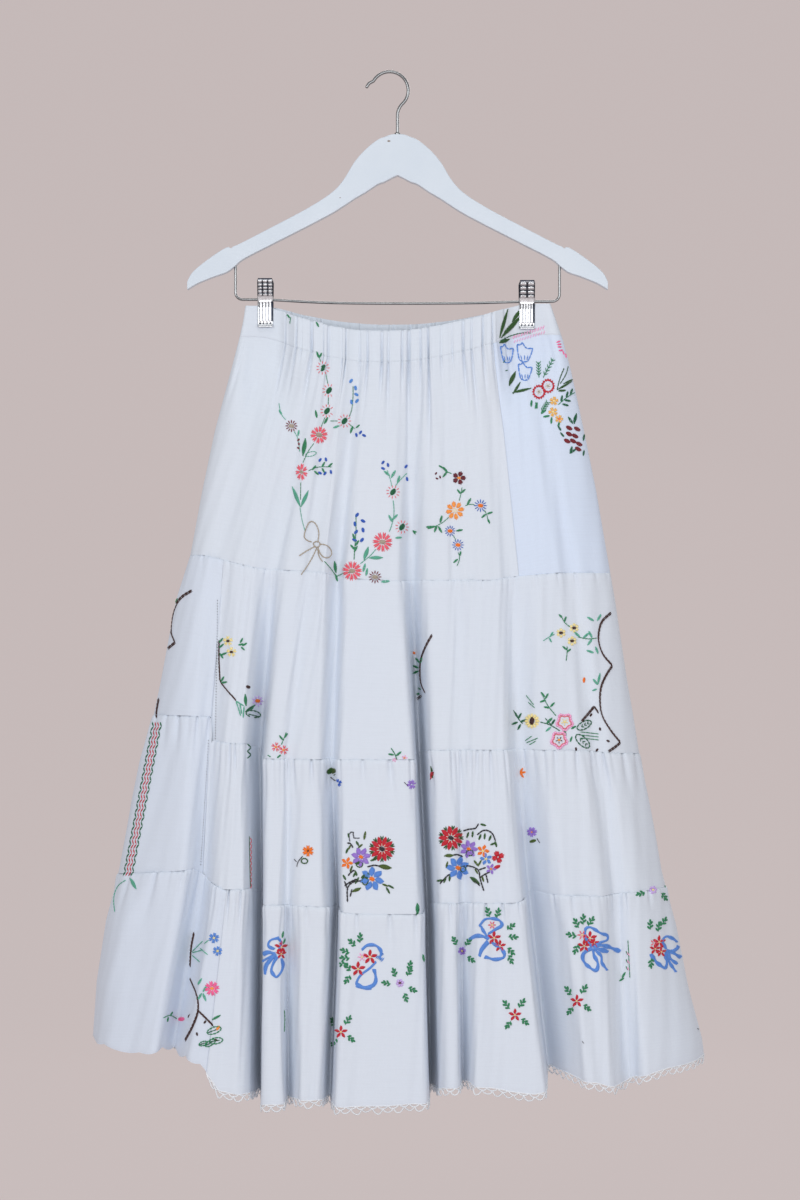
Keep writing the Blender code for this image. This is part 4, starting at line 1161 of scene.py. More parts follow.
for x, y, outer, count, turn in (
    (319, 435, 9.6, 10, 8.0), (352, 571, 11.0, 11, 4.0), (382.5, 542, 11.0, 11, 12.0),
):
    daisy(x, y, inner=3.0, outer=outer, count=count, petal="coral", centre="taupe", turn=turn,
          width=1.5, fan=2)
daisy(301.6, 472, inner=2.4, outer=9.4, count=7, petal="coral", centre="taupe", turn=30.0,
      squash=0.72, width=1.5, fan=2)
for x, y in (
    (323, 368), (329, 390.5), (327, 411), (344.5, 421), (393, 492), (402, 527),
):
    fill(x, y, along=3.4, across=2.8, turn=70, dye="fern", width=1.0)
for places, dye, size in (
    (((351, 381), (355.5, 388), (356.5, 394.5), (357, 401), (351.5, 402)), "sky", 2.2),
    (((360.5, 432.5), (356.5, 435), (364, 435.5)), "blue", 1.9),
    (((298.5, 440), (299, 444), (298.5, 448)), "wine", 1.4),
    (((320, 460), (326, 459.5), (320, 473), (325, 473.5), (331, 472)), "blue", 1.9),
    (((357, 515), (355, 524), (363, 521), (356, 532), (363, 530), (354.5, 540),
      (362, 540)), "blue", 2.3),
    (((383, 462.5), (388, 465), (383, 468.5), (406, 466.5), (407, 479)), "blue", 1.9),
):
    buds(places, dye, size)

# Tier 1, right: a spray of maroon, orange and blue-rayed flowers in satin and loop stitch,
# on short stems with leaves to both sides.
for route in (
    ((452, 474), (446, 471), (442, 468)), ((462, 487), (461, 494), (459, 501)),
    ((465, 506), (470, 504), (475, 505)), ((484, 510), (487, 515), (488, 522)),
    ((449, 517), (442, 523), (432, 528)), ((453, 535), (456, 540)),
    ((458, 552), (460, 558), (457, 566)),
):
    line(route, dye="leaf", width=0.75)
for x, y, turn, long in (
    (448, 473, 130, 8), (447, 472, 230, 7), (443, 468, 150, 5), (461, 494, 130, 6), (461, 493, 40, 6),
    (467, 505, 60, 8), (487, 514, 20, 6), (486, 514, 220, 6), (488, 519, 290, 5), (440, 523, 75, 8),
    (437, 525, 250, 8), (435, 526, 200, 8), (438, 526, 300, 8), (434, 527, 180, 8), (456, 531, 10, 7),
    (460, 556, 80, 5), (458, 559, 220, 6),
):
    leaf(x, y, turn, long, dye="leaf")
for x, y, inner, outer, count, petal, centre, turn, width in (
    (459, 478, 1.8, 7.0, 5, "maroon", "orange", 0.0, 2.0),
    (455, 510.5, 3.2, 9.6, 8, "orange", "cream", 10.0, 1.7),
):
    daisy(x, y, inner, outer, count, petal, centre, turn, width=width, fan=3)
for x, y, outer in (
    (480.5, 505.7, 6.6), (450, 531, 5.6), (458, 545, 6.2),
):
    daisy(x, y, inner=2.4, outer=outer, count=12, petal="blue", centre="amber", width=0.8)
buds(((436, 473.5), (440, 477), (437, 478.5)), dye="maroon", size=1.3)

# The tulip patch at the right: tulips outlined in stem stitch over drawn grasses, rosettes
# ringed with red teeth, straw flowers, a berry cluster, and pink stitches in a slanting band.
PINK_FROM = 513.0
PINK_TO = 545.0
PINK_PITCH = 2.7
PINK_RISE = 0.32
PINK_RISE_BELOW = 0.30
FRINGE = 4.5


def tulip(x, y, wide, tall, turn):
    """An open tulip in outline: a cup with three points and strokes up from its base."""
    c, s = math.cos(math.radians(turn)), math.sin(math.radians(turn))
    shape = (
        (-0.50, -0.45), (-0.30, -0.42), (-0.18, -0.58), (-0.02, -0.36), (0.14, -0.25), (0.50, -0.30),
        (0.40, 0.10), (0.22, 0.46), (-0.04, 0.50), (-0.30, 0.40), (-0.42, 0.02), (-0.50, -0.45),
    )
    turned = [(x + (px * c - py * s) * wide, y + (px * s + py * c) * tall) for px, py in shape]
    for low, high in zip(turned, turned[1:]):
        line([low, high], "bow", 1.25, 4.5)
    for px in (-0.16, 0.0, 0.14):
        stitch(x + px * wide, y + 0.40 * tall, x + px * 1.5 * wide, y + 0.12 * tall, "bow", 0.8)


def grass(x, y, turn, long):
    """A stem with short blades to both sides at even steps."""
    line(((x, y), away(x, y, turn, long)), "leaf", 0.8)
    for share in np.linspace(0.15, 0.85, 5):
        place = away(x, y, turn, long * share)
        for lean in (38.0, -38.0):
            stitch(*place, *away(*place, turn + lean, 4.2), "leaf", 0.8)


for route, dye, width in (
    (((500, 341), (510, 336), (522, 333), (531, 333)), "fern", 0.9),
    (((503, 363), (505, 360)), "fern", 0.8), (((557, 390), (560, 378), (564, 368)), "moss", 1.0),
    (((560, 384), (566, 374), (568, 366)), "moss", 0.9),
    (((558, 405), (566, 398), (577, 391)), "leaf", 0.8),
):
    line(route, dye, width)
for x, y, turn, long, dye in (
    (531, 407, 85, 7, "leaf"), (535, 409, 70, 7, "leaf"), (537, 409, 100, 7, "leaf"),
    (541, 414, 40, 7, "leaf"), (543, 417, 10, 7, "leaf"), (551, 424, 85, 7, "leaf"),
    (558, 391, 5, 8, "moss"), (561, 402, 80, 7, "fern"), (566, 398, 75, 7, "fern"),
    (570, 395, 70, 7, "fern"), (564, 400, -10, 7, "fern"), (562, 404, -15, 7, "fern"),
    (573, 424, 125, 9, "fern"), (572, 446, 255, 8, "fern"), (576, 449, 215, 8, "fern"),
    (583, 441, 80, 7, "fern"), (584, 450, 260, 6, "fern"), (561, 431, 120, 7, "fern"),
    (564, 437, 130, 6, "fern"), (558, 427, 75, 6, "leaf"),
):
    leaf(x, y, turn, long, dye)
for x, y, turn, long, dye, wide in (
    (499.5, 338, 74, 30, "moss", 1.9), (501, 338, 48, 30, "moss", 2.6), (512, 322, 55, 16, "moss", 2.0),
    (499, 343, 20, 11, "moss", 2.2), (509, 386, 66, 16, "moss", 2.4), (513, 394, 58, 14, "moss", 1.4),
    (512, 393, 14, 20, "moss", 1.6), (557, 390, 30, 17, "moss", 1.2), (563, 384, 25, 12, "moss", 1.0),
    (574, 424, 78, 11, "fern", 1.8),
):
    leaf(x, y, turn, long, dye, wide)
for x, y in (
    (539, 392), (548, 386),
):
    hoop(x, y, rx=5.6, ry=6.0, dye="red", width=1.5, teeth=16)
for x, y, wide, tall, turn in (
    (507, 354, 13, 18, -4), (524.5, 353, 16, 18, 4), (525, 372, 14, 17, 2),
):
    tulip(x, y, wide, tall, turn)
for x, y in (
    (539, 392), (548, 386),
):
    daisy(x, y, inner=1.0, outer=3.0, count=6, petal="cream", centre="taupe", width=1.2)
for x, y, outer, centre, turn, width in (
    (554, 401, 5.0, "butter", 10, 1.5), (553, 412, 5.4, "butter", 40, 1.5),
    (559, 419, 4.6, "amber", 70, 1.4),
):
    daisy(x, y, inner=1.2, outer=outer, count=5, petal="straw", centre=centre, turn=turn, width=width,
          fan=2)
for x, y in (
    (569, 428), (569, 434), (567, 441), (577, 429), (575, 436), (573, 441), (579, 444), (578, 449),
):
    fill(x, y, along=3.2, across=2.2, turn=-20, dye="wine", width=1.1)
stitch(505, 371, 508, 370, dye="fern", width=0.8)
for x in np.arange(PINK_FROM, PINK_TO, PINK_PITCH):
    rise = (x - PINK_FROM) * PINK_RISE
    stitch(x, 339 - rise, x + 1.5, 335 - rise, "pink", 1.1)
    stitch(x + 0.8, 343 - (x - PINK_FROM) * PINK_RISE_BELOW, x + 2.2, 340 - rise, "pink", 0.8)
for x, y, turn, long in ((539, 378, 92, 16), (543, 378, 62, 22), (541, 413, 58, 13)):
    grass(x, y, turn, long)
for x, y, turn in (
    (560.5, 341, 200), (561.5, 344, 190), (562, 347, 180), (563, 350, 190), (564, 355, 110),
    (566, 358, 100), (568, 362, 90),
):
    stitch(x, y, *away(x, y, turn, FRINGE), "hot_pink", 1.4)

# Tier 2: a brown scalloped branch at each side with small flowers in butter and coral, and
# sprays at its foot, with two five-lobed pink flowers outlined twice.
VEIN = 3.0
VEIN_LEAN = math.degrees(0.6)


def branch(points, width=1.5):
    """A stitched branch: two rows of stem stitch that lean against each other."""
    line(points, "bark", width, 4.0)
    line([(x + 0.5, y + 1.4) for x, y in points], "bark", width * 0.8, 4.0)


for route, width in (
    (((192, 590), (181, 597), (174, 609), (171, 630), (175, 642)), 1.5),
    (((175, 642), (166, 650), (164, 659)), 1.5), (((159, 698), (157, 708), (156, 717)), 1.5),
    (((219, 640), (219, 660), (220, 681)), 1.1), (((220, 681), (228, 691), (236, 700)), 1.1),
    (((432, 634), (426, 645), (421, 658), (420, 671), (421, 683), (425, 692)), 1.2),
    (((425, 692), (419, 697), (414, 700)), 1.1),
    (((611, 612), (604, 618), (600, 624), (598, 638), (602, 653), (612, 665)), 1.5),
    (((612, 665), (605, 676), (600, 690), (601, 712), (609, 728), (620, 742)), 1.5),
    (((620, 742), (614, 747), (608, 751)), 1.5), (((594, 706), (588, 713), (581, 721)), 1.5),
    (((594, 706), (598, 712)), 1.5),
):
    branch(route, width=width)
for route, dye, width in (
    (((236, 701), (241, 716)), "mint", 1.3), (((236, 701), (244, 706)), "mint", 1.3),
    (((244, 706), (243, 718)), "mint", 1.3), (((240, 703), (242, 714)), "mint", 1.3),
    (((526, 695), (534, 705)), "leaf", 0.9), (((528, 702), (535, 708)), "leaf", 0.9),
    (((526, 743), (538, 738)), "leaf", 0.9), (((525, 741), (532, 736)), "leaf", 0.9),
    (((529, 745), (536, 741)), "leaf", 0.9), (((580, 732), (590, 733), (599, 734)), "leaf", 0.8),
    (((580, 735), (590, 736), (599, 737)), "leaf", 0.8),
    (((580, 738), (590, 739), (599, 740)), "leaf", 0.8),
):
    line(route, dye, width, length=5.0)
for route, dye, width in (
    (((248, 714), (260, 717)), "fern", 1.0), (((281, 745), (284, 738), (286, 732)), "leaf", 0.8),
    (((397, 760), (395, 754), (391, 748)), "leaf", 1.0),
    (((570, 627), (564, 622), (561, 615)), "leaf", 0.9),
    (((555, 634), (549, 637), (543, 641)), "mint", 0.8),
    (((567, 646), (567, 653), (566, 661)), "leaf", 0.8),
    (((578, 637), (588, 639), (597, 638)), "leaf", 0.9),
    (((523, 724), (517, 717), (513, 710)), "fern", 0.9),
    (((542, 694), (548, 706), (556, 716)), "leaf", 0.9),
    (((540, 722), (550, 725), (560, 731)), "fern", 1.0), (((545, 718), (551, 725)), "fern", 0.9),
):
    line(route, dye, width)
for x, y, turn, long, dye in (
    (177, 602, 120, 6, "leaf"), (176, 603, 70, 5, "leaf"), (238, 645, 10, 6, "leaf"),
    (240, 643, 60, 6, "leaf"), (242, 646, 30, 6, "leaf"), (241, 647, -40, 5, "leaf"),
    (219, 643, 50, 6.5, "leaf"), (219, 648, 40, 6.5, "leaf"), (220, 653, -60, 6.5, "leaf"),
    (221, 655, 20, 6.5, "leaf"), (221, 682, 60, 6.5, "leaf"), (221, 683, 10, 6.5, "leaf"),
    (251, 710, 60, 6, "leaf"), (283, 740, 130, 6, "leaf"), (284, 738, 55, 6, "leaf"),
    (271, 757, 150, 4, "leaf"), (277, 758, 40, 5, "leaf"), (396, 756, 40, 7, "leaf"),
    (394, 755, 170, 6, "leaf"), (420, 663, 130, 7, "leaf"), (419, 668, 160, 7, "leaf"),
    (419, 671, 200, 7, "leaf"), (420, 664, 70, 7, "leaf"), (424, 691, 150, 7, "leaf"),
    (423, 693, 190, 7, "leaf"), (564, 622, 70, 6, "leaf"), (562, 618, 130, 5, "leaf"),
    (550, 637, 60, 6, "mint"), (549, 638, 300, 5, "mint"), (567, 650, 140, 6, "leaf"),
    (567, 652, 40, 5, "leaf"), (580, 637, 140, 8, "mint"), (583, 638, 40, 8, "mint"),
    (592, 638, 115, 8, "mint"), (592, 639, 235, 8, "mint"), (594, 621, 150, 8, "mint"),
    (597, 621, 60, 8, "mint"), (594, 653, 160, 8, "mint"), (598, 654, 110, 8, "mint"),
    (598, 685, 130, 8, "mint"), (597, 689, 200, 5, "mint"), (518, 718, 120, 7, "fern"),
    (518, 719, 60, 7, "fern"), (518, 722, 200, 7, "fern"), (521, 724, 240, 7, "fern"),
    (520, 722, 20, 7, "fern"), (545, 699, 60, 6.5, "leaf"), (546, 700, 200, 6.5, "leaf"),
    (550, 707, 45, 6.5, "leaf"), (550, 708, 170, 6.5, "leaf"), (545, 697, 130, 6.5, "leaf"),
    (546, 724, 45, 9, "leaf"), (551, 727, 220, 7, "mint"), (551, 725, 55, 7, "fern"),
    (566, 736, 110, 7, "leaf"), (570, 742, 70, 6, "leaf"), (571, 729, 30, 6, "leaf"),
):
    leaf(x, y, turn, long, dye)
for x, y, turn, long, dye, wide in (
    (246, 706, 95, 12, "leaf", 1.8), (245, 712, 35, 13, "fern", 1.4), (598, 684, 80, 11, "mint", 1.4),
):
    leaf(x, y, turn, long, dye, wide)
hoop(253, 714, rx=7.5, ry=3.4, dye="fern", width=1.2, turn=-10)
for x, y, rx, ry, dye, width in (
    (564.6, 722, 9.0, 9.0, "pink", 2.1), (564.6, 722, 7.0, 7.0, "rose", 0.9),
    (559, 740, 9.0, 9.0, "pink", 2.1), (559, 740, 7.0, 7.0, "rose", 0.9),
):
    hoop(x, y, rx, ry, dye, width, turn=18, lobes=5, deep=0.3)
for x, y, inner, outer, count, petal, centre, turn, width in (
    (228, 641, 1.6, 5.6, 5, "butter", "bark", 90, 1.5),
    (231.5, 652, 1.6, 5.6, 5, "butter", "bark", 90, 1.5),
    (276, 747, 1.4, 5.4, 5, "coral", "orange", 80, 0.95),
    (283.5, 750, 1.4, 5.4, 5, "coral", "orange", 80, 0.95),
    (574, 628, 1.9, 5.2, 6, "butter", "bark", 30, 1.6),
    (561, 633, 1.9, 5.2, 6, "butter", "bark", 30, 1.6),
    (572, 641, 1.9, 5.2, 6, "butter", "bark", 30, 1.6),
    (532, 721, 3.0, 8.4, 12, "butter", None, 0.0, 1.5),
):
    daisy(x, y, inner, outer, count, petal, centre, turn, width=width, fan=2)
for x, y, inner, outer, count, petal, centre, turn, width in (
    (257.5, 701, 2.4, 5.6, 9, "lilac", "amber", 0.0, 1.5),
    (404.5, 758, 0.8, 3.0, 5, "pink", "orange", 0.0, 1.2),
    (394.5, 760, 0.6, 2.2, 5, "pink", None, 0.0, 1.0),
    (564.6, 722, 1.4, 3.6, 5, "butter", "butter", 54, 0.9),
    (559, 740, 1.4, 3.6, 5, "bark", "orange", 54, 0.9),
):
    daisy(x, y, inner, outer, count, petal, centre, turn, width=width)
for x, y, along, across, turn, dye, width in (
    (248, 687, 2.0, 2.0, 0, "bark", 0.9), (414, 653, 1.4, 1.4, 0, "amber", 0.9),
    (584, 680, 2.6, 1.5, 90, "amber", 0.9), (532, 721, 4.0, 2.6, 90, "bark", 1.2),
):
    fill(x, y, along, across, turn, dye, width=width)
buds(((591, 715), (600, 729), (608, 741), (597, 750), (576, 749)), dye="bark", size=1.6)
for x, y, turn, long in ((577, 729, 28, 16), (576, 735, -44, 18)):
    hoop(*away(x, y, turn, long / 2), long / 2, long * 0.24, "fern", 1.25, turn=turn)
    for share in (0.3, 0.5, 0.7):
        vein = away(x, y, turn, long * share)
        for lean in (VEIN_LEAN, -VEIN_LEAN):
            stitch(*vein, *away(*vein, turn + lean, VEIN), "fern", 0.9)

# Tier 3: a zigzag border of four threads down the left patch, and scattered buds and small
# flowers between the bouquets.


def zigzag(x0, y0, x1, y1, count, swing, dye, width):
    """Straight stitches to and fro across the line between two places."""
    places = []
    for k in range(count + 1):
        side = swing if k % 2 else -swing
        places.append((x0 + (x1 - x0) * k / count + side, y0 + (y1 - y0) * k / count))
    for low, high in zip(places, places[1:]):
        stitch(*low, *high, dye, width)


for route, dye, width in (
    (((126, 880), (118, 886), (114, 898), (115, 912)), "mint", 0.9),
    (((249, 836), (249.4, 860), (250, 887)), "fern", 0.8), (((330, 777), (336, 781)), "black", 0.9),
    (((303, 856), (298, 862), (297, 867)), "black", 0.9), (((294, 859), (297, 862)), "black", 0.9),
    (((404, 782), (408, 786)), "black", 0.8), (((430, 780), (434, 772)), "bark", 0.8),
    (((537, 838), (540, 843)), "black", 0.9),
):
    line(route, dye, width)
for x, y, turn, long, dye, wide in (
    (130, 878, 300, 13, "mint", 2.0), (431, 779, 80, 11, "red", 2.0), (433, 778, 100, 12, "moss", 1.2),
    (520, 773, 60, 6, "amber", 1.6), (520, 773, 10, 6, "amber", 1.6), (520, 773, -50, 6, "amber", 1.6),
):
    leaf(x, y, turn, long, dye, wide)
hoop(304.5, 861, rx=3.2, ry=2.6, dye="moss", width=1.4)
for x, y, outer, count, petal, centre, turn, width in (
    (338, 783, 4.4, 5, "blue", None, 20, 1.5), (308, 851, 6.4, 6, "amber", "bark", 30, 1.7),
    (411.5, 784.5, 5.4, 6, "purple", None, 10, 1.4), (532, 832, 5.8, 7, "purple", "orange", 10, 1.5),
):
    daisy(x, y, inner=0.8, outer=outer, count=count, petal=petal, centre=centre, turn=turn,
          width=width, fan=2)
for x, y, along, across, turn, dye in (
    (330, 771, 3.6, 3.0, 60, "moss"), (334, 772, 3.4, 2.4, 100, "olive"),
    (533, 841, 3.4, 1.8, 20, "olive"),
):
    fill(x, y, along, across, turn, dye)
for offset, dye, width in (
    (-4.0, "fern", 1.3), (-1.36, "red", 1.0), (1.36, "red", 1.0), (4.0, "fern", 1.3),
):
    zigzag(157.5 + offset, 722, 128 + offset, 876, count=34, swing=1.0, dye=dye, width=width)
zigzag(249, 744, 249, 758.4, count=4, swing=2.0, dye="fern", width=1.3)
zigzag(250.7, 838, 250.7, 888.4, count=18, swing=0.7, dye="coral", width=1.0)

# Tier 3, the two bouquets: big flowers in satin stitch with a dark eye or an amber one, moss
# and olive leaves packed between them, and black stems and tendrils.
EYE_SHARE = 0.20
TIP_LEAN = math.degrees(0.10)


def big_flower(x, y, size, petal, edge, centre, count, turn):
    """A bouquet flower: pointed satin petals round a contrasting eye, with leaf tips between."""
    across = min(size * 0.60 * math.sin(math.pi / count) * 1.05, size * 0.30)
    for k in range(count):
        a = turn + 360.0 * k / count
        fill(*away(x, y, a, size * 0.60), size * 0.38, across, a, petal, True, 1.0)
        if edge:
            between = a + 180.0 / count
            for lean in (-TIP_LEAN, TIP_LEAN):
                tip = away(x, y, between + lean, size * 1.02)
                stitch(*away(x, y, between, size * 0.66), *tip, edge, 1.3)
    fill(x, y, size * EYE_SHARE, size * EYE_SHARE, 0.0, centre, width=1.1)


for route, width in (
    (((350, 842), (349, 833), (354, 832), (353, 838), (360, 838)), 0.9),
    (((347.5, 902), (347.5, 888), (353, 882), (362, 881)), 1.45),
    (((344.5, 886), (350, 882), (357, 879)), 1.45), (((344.5, 881), (347, 888)), 1.45),
    (((348, 876), (351, 872), (354.5, 870)), 1.45), (((367, 867), (375, 865), (381, 867)), 1.45),
    (((347, 843), (351, 843.5), (353, 848)), 1.45), (((350, 897), (352, 889)), 1.45),
    (((463, 831), (470, 829), (476, 828.5), (478.5, 823.5)), 1.45),
    (((477, 835), (484, 830), (492, 833), (495.5, 841)), 1.45),
    (((462, 866), (470, 866), (478.5, 870), (480, 878), (484, 891)), 1.45),
    (((478.5, 870), (486, 867.5)), 1.45), (((480, 878), (485, 874), (490, 872)), 1.45),
    (((486, 874.5), (488, 883)), 1.45), (((453, 855), (458, 854.5), (463, 857)), 1.45),
    (((450, 874), (445, 878), (440, 884)), 1.45), (((474, 880), (480, 886)), 1.45),
):
    line(route, dye="black", width=width)
leaf(349, 838, turn=100, long=5, dye="moss")
for x, y, turn, long, dye, wide in (
    (353, 877, 60, 6, "moss", 1.6), (357, 876, 110, 6, "moss", 1.6), (361, 878, 40, 6, "moss", 1.6),
    (356, 841, 300, 6, "moss", 1.6), (348, 848, 250, 6, "moss", 1.6), (346, 880, 120, 6, "moss", 1.6),
    (378, 866, -8, 14, "olive", 2.8), (370, 861, 20, 8, "moss", 1.6), (382, 884, -20, 7, "olive", 1.4),
    (386, 887, -60, 8, "moss", 1.6), (388, 885, -30, 7, "moss", 1.4), (352, 892, 25, 10, "olive", 2.0),
    (355, 884, 60, 8, "moss", 1.6), (364, 840, 80, 9, "olive", 1.8), (348, 850, 60, 6, "olive", 1.2),
    (358, 848, 40, 6, "olive", 1.2), (350, 872, 70, 7, "olive", 1.4), (469, 832, 250, 6.5, "moss", 1.6),
    (473, 831, 265, 6.5, "moss", 1.6), (480, 824, 345, 6.5, "moss", 1.6),
    (481, 834, 250, 6.5, "moss", 1.6), (485, 833, 265, 6.5, "moss", 1.6),
    (491, 835, 250, 6.5, "moss", 1.6), (495, 841, 285, 6.5, "moss", 1.6),
    (462, 833, 225, 6.5, "moss", 1.6), (446, 877, 250, 6.5, "moss", 1.6),
    (450, 875, 265, 6.5, "moss", 1.6), (443, 880, 190, 6.5, "moss", 1.6),
    (444, 856, 5, 10, "olive", 2.0), (470, 877, -35, 12, "moss", 2.4), (474, 860, -55, 8, "olive", 1.6),
    (478, 866, 60, 7, "olive", 1.4), (490, 845, 20, 7, "moss", 1.4), (484, 882, 110, 7, "olive", 1.4),
    (478, 874, 120, 6, "olive", 1.2), (446, 868, 75, 7, "olive", 1.4),
):
    leaf(x, y, turn, long, dye, wide)
for x, y, rx, ry in (
    (359.5, 864.5, 3.2, 2.8), (365, 881, 3.0, 4.0), (470, 853, 3.6, 2.8), (463, 869, 3.2, 2.8),
):
    hoop(x, y, rx, ry, dye="moss", width=1.3)
for x, y, inner, outer, count, turn in (
    (382, 849, 2.6, 6.0, 10, 18), (451, 838, 2.4, 5.6, 9, 0),
):
    daisy(x, y, inner, outer, count, petal="cream", centre="black", turn=turn, width=0.7)
daisy(498, 857, inner=0.8, outer=6.6, count=4, petal="red", centre=None, turn=20, width=2.2, fan=3)
for x, y, size, petal, edge, centre, count, turn in (
    (382, 849, 13.0, "red", "moss", "black", 10, 0.0),
    (361, 857, 10.0, "purple", None, "amber", 7, 12.0), (372, 879, 12.5, "bow", None, "amber", 7, 40.0),
    (347, 863, 6.0, "amber", None, "orange", 5, 0.0), (451, 838, 12.5, "red", "moss", "black", 9, 20.0),
    (469, 849, 9.2, "purple", None, "amber", 7, 0.0), (458, 868, 12.0, "bow", None, "amber", 7, 25.0),
    (483, 851, 6.4, "amber", None, "butter", 5, 0.0), (486, 859, 6.2, "bow", None, "butter", 5, 30.0),
    (491, 869, 5.4, "purple", None, "orange", 5, 0.0),
):
    big_flower(x, y, size, petal, edge, centre, count, turn)
for x, y, along, across, turn, dye in (
    (367, 876, 3.2, 2.6, 80, "moss"), (358, 863, 3.0, 2.0, 10, "moss"), (497, 867, 3.4, 2.0, 30, "red"),
):
    fill(x, y, along, across, turn, dye)

# Tier 4: a branch patch at the left, ribbon bows in pale blue satin stitch with red flowers
# and loose green leaves round them, and small sprigs low down.
RIBBON_PITCH = 0.72


def ribbon(points, wide):
    """Ribbon in satin stitch: threads laid across a soft curve, a little wider here and there."""
    curve = rounded(points, 6) if len(points) > 2 else np.array(points, float)
    for low, high in zip(curve, curve[1:]):
        dx, dy = high - low
        length = max(math.hypot(dx, dy), 1e-6)
        nx, ny = -dy / length, dx / length
        for share in np.arange(0.0, 1.0, max(RIBBON_PITCH / length, 0.2)):
            px, py = low[0] + dx * share, low[1] + dy * share
            half = wide * (0.85 + 0.25 * math.sin(0.45 * (px + py)))
            stitch(px - nx * half + dx / length * 0.5, py - ny * half + dy / length * 0.5,
                   px + nx * half - dx / length * 0.5, py + ny * half - dy / length * 0.5, "bow")


def red_flower(x, y, size):
    """A small flower of five long petals in red satin stitch with a yellow knot."""
    for k in range(5):
        turn = 18.0 + 72.0 * k
        fill(*away(x, y, turn, size * 0.58), size * 0.42, size * 0.24, turn, "red", True, 1.15)
    fill(x, y, size * 0.14, size * 0.14, 0.0, "butter", width=1.1)


def green_pair(x, y, turn, long):
    """A loose sprig of leaves to both sides and one at its tip, as worked round the bows."""
    line(((x, y), away(x, y, turn, long)), "leaf", 0.9, 4.0)
    for share, lean in ((0.15, 48.0), (0.35, -50.0), (0.65, 42.0), (0.80, -38.0)):
        leaf(*away(x, y, turn, long * share), turn + lean, long * 0.58, "leaf", 1.5)
    leaf(*away(x, y, turn, long), turn, long * 0.54, "leaf", 1.5)


for route in (
    ((194, 932), (191, 948), (190, 966)),
    ((190, 978), (197, 995), (198, 1010), (193, 1025), (185, 1040)),
    ((198, 1010), (206, 1018), (213, 1025)),
):
    branch(route)
for route in (
    ((192, 952), (203, 941)), ((192, 953), (206, 949)), ((192, 955), (200, 962)),
    ((200, 948), (208, 955)), ((204, 944), (209, 940)),
):
    line(route, dye="mint", width=1.1, length=5.0)
for route, width in (
    (((163, 1018), (170, 1015), (177, 1019)), 0.9), (((628, 940), (629, 958), (630, 978)), 0.8),
    (((284, 1010), (284.5, 1020), (284, 1032)), 0.9),
):
    line(route, dye="leaf", width=width)
for x, y, turn, long, dye in (
    (203, 992, 60, 7, "mint"), (203, 993, 290, 9, "mint"), (202, 993, 240, 8, "mint"),
    (198, 985, 60, 8, "mint"), (170, 1016, 60, 5, "leaf"), (168, 1017, 260, 5, "leaf"),
    (282, 938, 80, 7, "leaf"), (283, 944, 70, 6, "leaf"), (424, 962, 100, 8, "leaf"),
    (622, 978, 60, 7, "leaf"), (619, 981, 30, 6, "leaf"),
):
    leaf(x, y, turn, long, dye)
for x, y, turn, long, dye, wide in (
    (212, 1020, 30, 10, "leaf", 1.4), (417, 903, 275, 11, "leaf", 2.2), (419, 908, 250, 8, "fern", 1.6),
):
    leaf(x, y, turn, long, dye, wide)
for x, y, inner, outer, count, petal, centre, turn, width in (
    (214, 938, 1.2, 6.0, 6, "bow", "butter", 20, 1.5),
    (217.5, 951, 1.2, 5.4, 6, "bow", "butter", 20, 1.5),
    (212, 988.5, 1.8, 8.4, 8, "hot_pink", "orange", 10, 1.6),
    (400, 983, 1.2, 4.6, 6, "lilac", "maroon", 12, 1.5),
    (462, 951, 1.2, 4.6, 6, "purple", "butter", 12, 1.5),
    (653, 890, 1.2, 4.6, 6, "lilac", "butter", 12, 1.5),
):
    daisy(x, y, inner, outer, count, petal, centre, turn, width=width, fan=2)
for x, y, inner, outer, count, petal, centre in (
    (362, 957, 1.0, 4.5, 6, "pink", "butter"), (492, 925, 1.0, 4.0, 6, "coral", "butter"),
    (582, 935, 1.0, 5.0, 6, "coral", "butter"), (654, 943, 0.8, 4.0, 5, "coral", None),
):
    daisy(x, y, inner, outer, count, petal, centre, width=1.2)
for x, y, size in (
    (281, 947, 6.5), (281, 954, 5.0), (370, 957, 7.5), (358, 969, 7.5), (494, 938, 7.0),
    (500, 946, 6.0), (590, 938, 7.0), (584, 946, 6.5), (594, 943, 5.0), (659, 942, 6.5),
    (655, 949, 5.5), (661, 952, 5.0), (341, 1032, 6.4), (515, 1015, 6.4), (577, 1001, 6.4),
):
    red_flower(x, y, size)
for x, y, turn, long in (
    (360, 943, 90, 7.0), (356, 946, 140, 7.0), (350, 953, 160, 7.0), (350, 958, 180, 7.0),
    (350, 975, 240, 7.0), (351, 971, 130, 7.0), (347, 963, 190, 7.0), (497, 918, 80, 7.0),
    (490, 917, 110, 7.0), (507, 930, 40, 7.0), (508, 937, 0, 7.0), (507, 948, -40, 7.0),
    (508, 955, -60, 7.0), (583, 925, 90, 7.5), (579, 928, 120, 7.5), (588, 926, 60, 7.5),
    (578, 944, 250, 7.5), (577, 936, 170, 7.5), (658, 932, 85, 7.0), (661, 926, 60, 7.0),
    (650, 930, 90, 7.0), (651, 958, 270, 7.0), (391, 984, 170, 6.5), (396, 977, 110, 6.5),
    (407, 976, 60, 6.5), (408, 988, -20, 6.5), (404, 993, -70, 6.5), (409, 970, 80, 6.5),
    (457, 945, 120, 6.5), (467, 957, -30, 6.5), (645, 892, 200, 6.5), (661, 893, -50, 6.5),
    (664, 888, 20, 6.5), (466, 946, 60, 6.5), (336, 1026, 130, 7.5), (345, 1025, 60, 7.5),
    (337, 1038, 235, 6.5), (347, 1036, -35, 6.5), (510, 1009, 130, 7.5), (519, 1008, 60, 7.5),
    (511, 1021, 235, 6.5), (521, 1019, -35, 6.5), (572, 995, 130, 7.5), (581, 994, 60, 7.5),
    (573, 1007, 235, 6.5), (583, 1005, -35, 6.5),
):
    green_pair(x, y, turn, long)
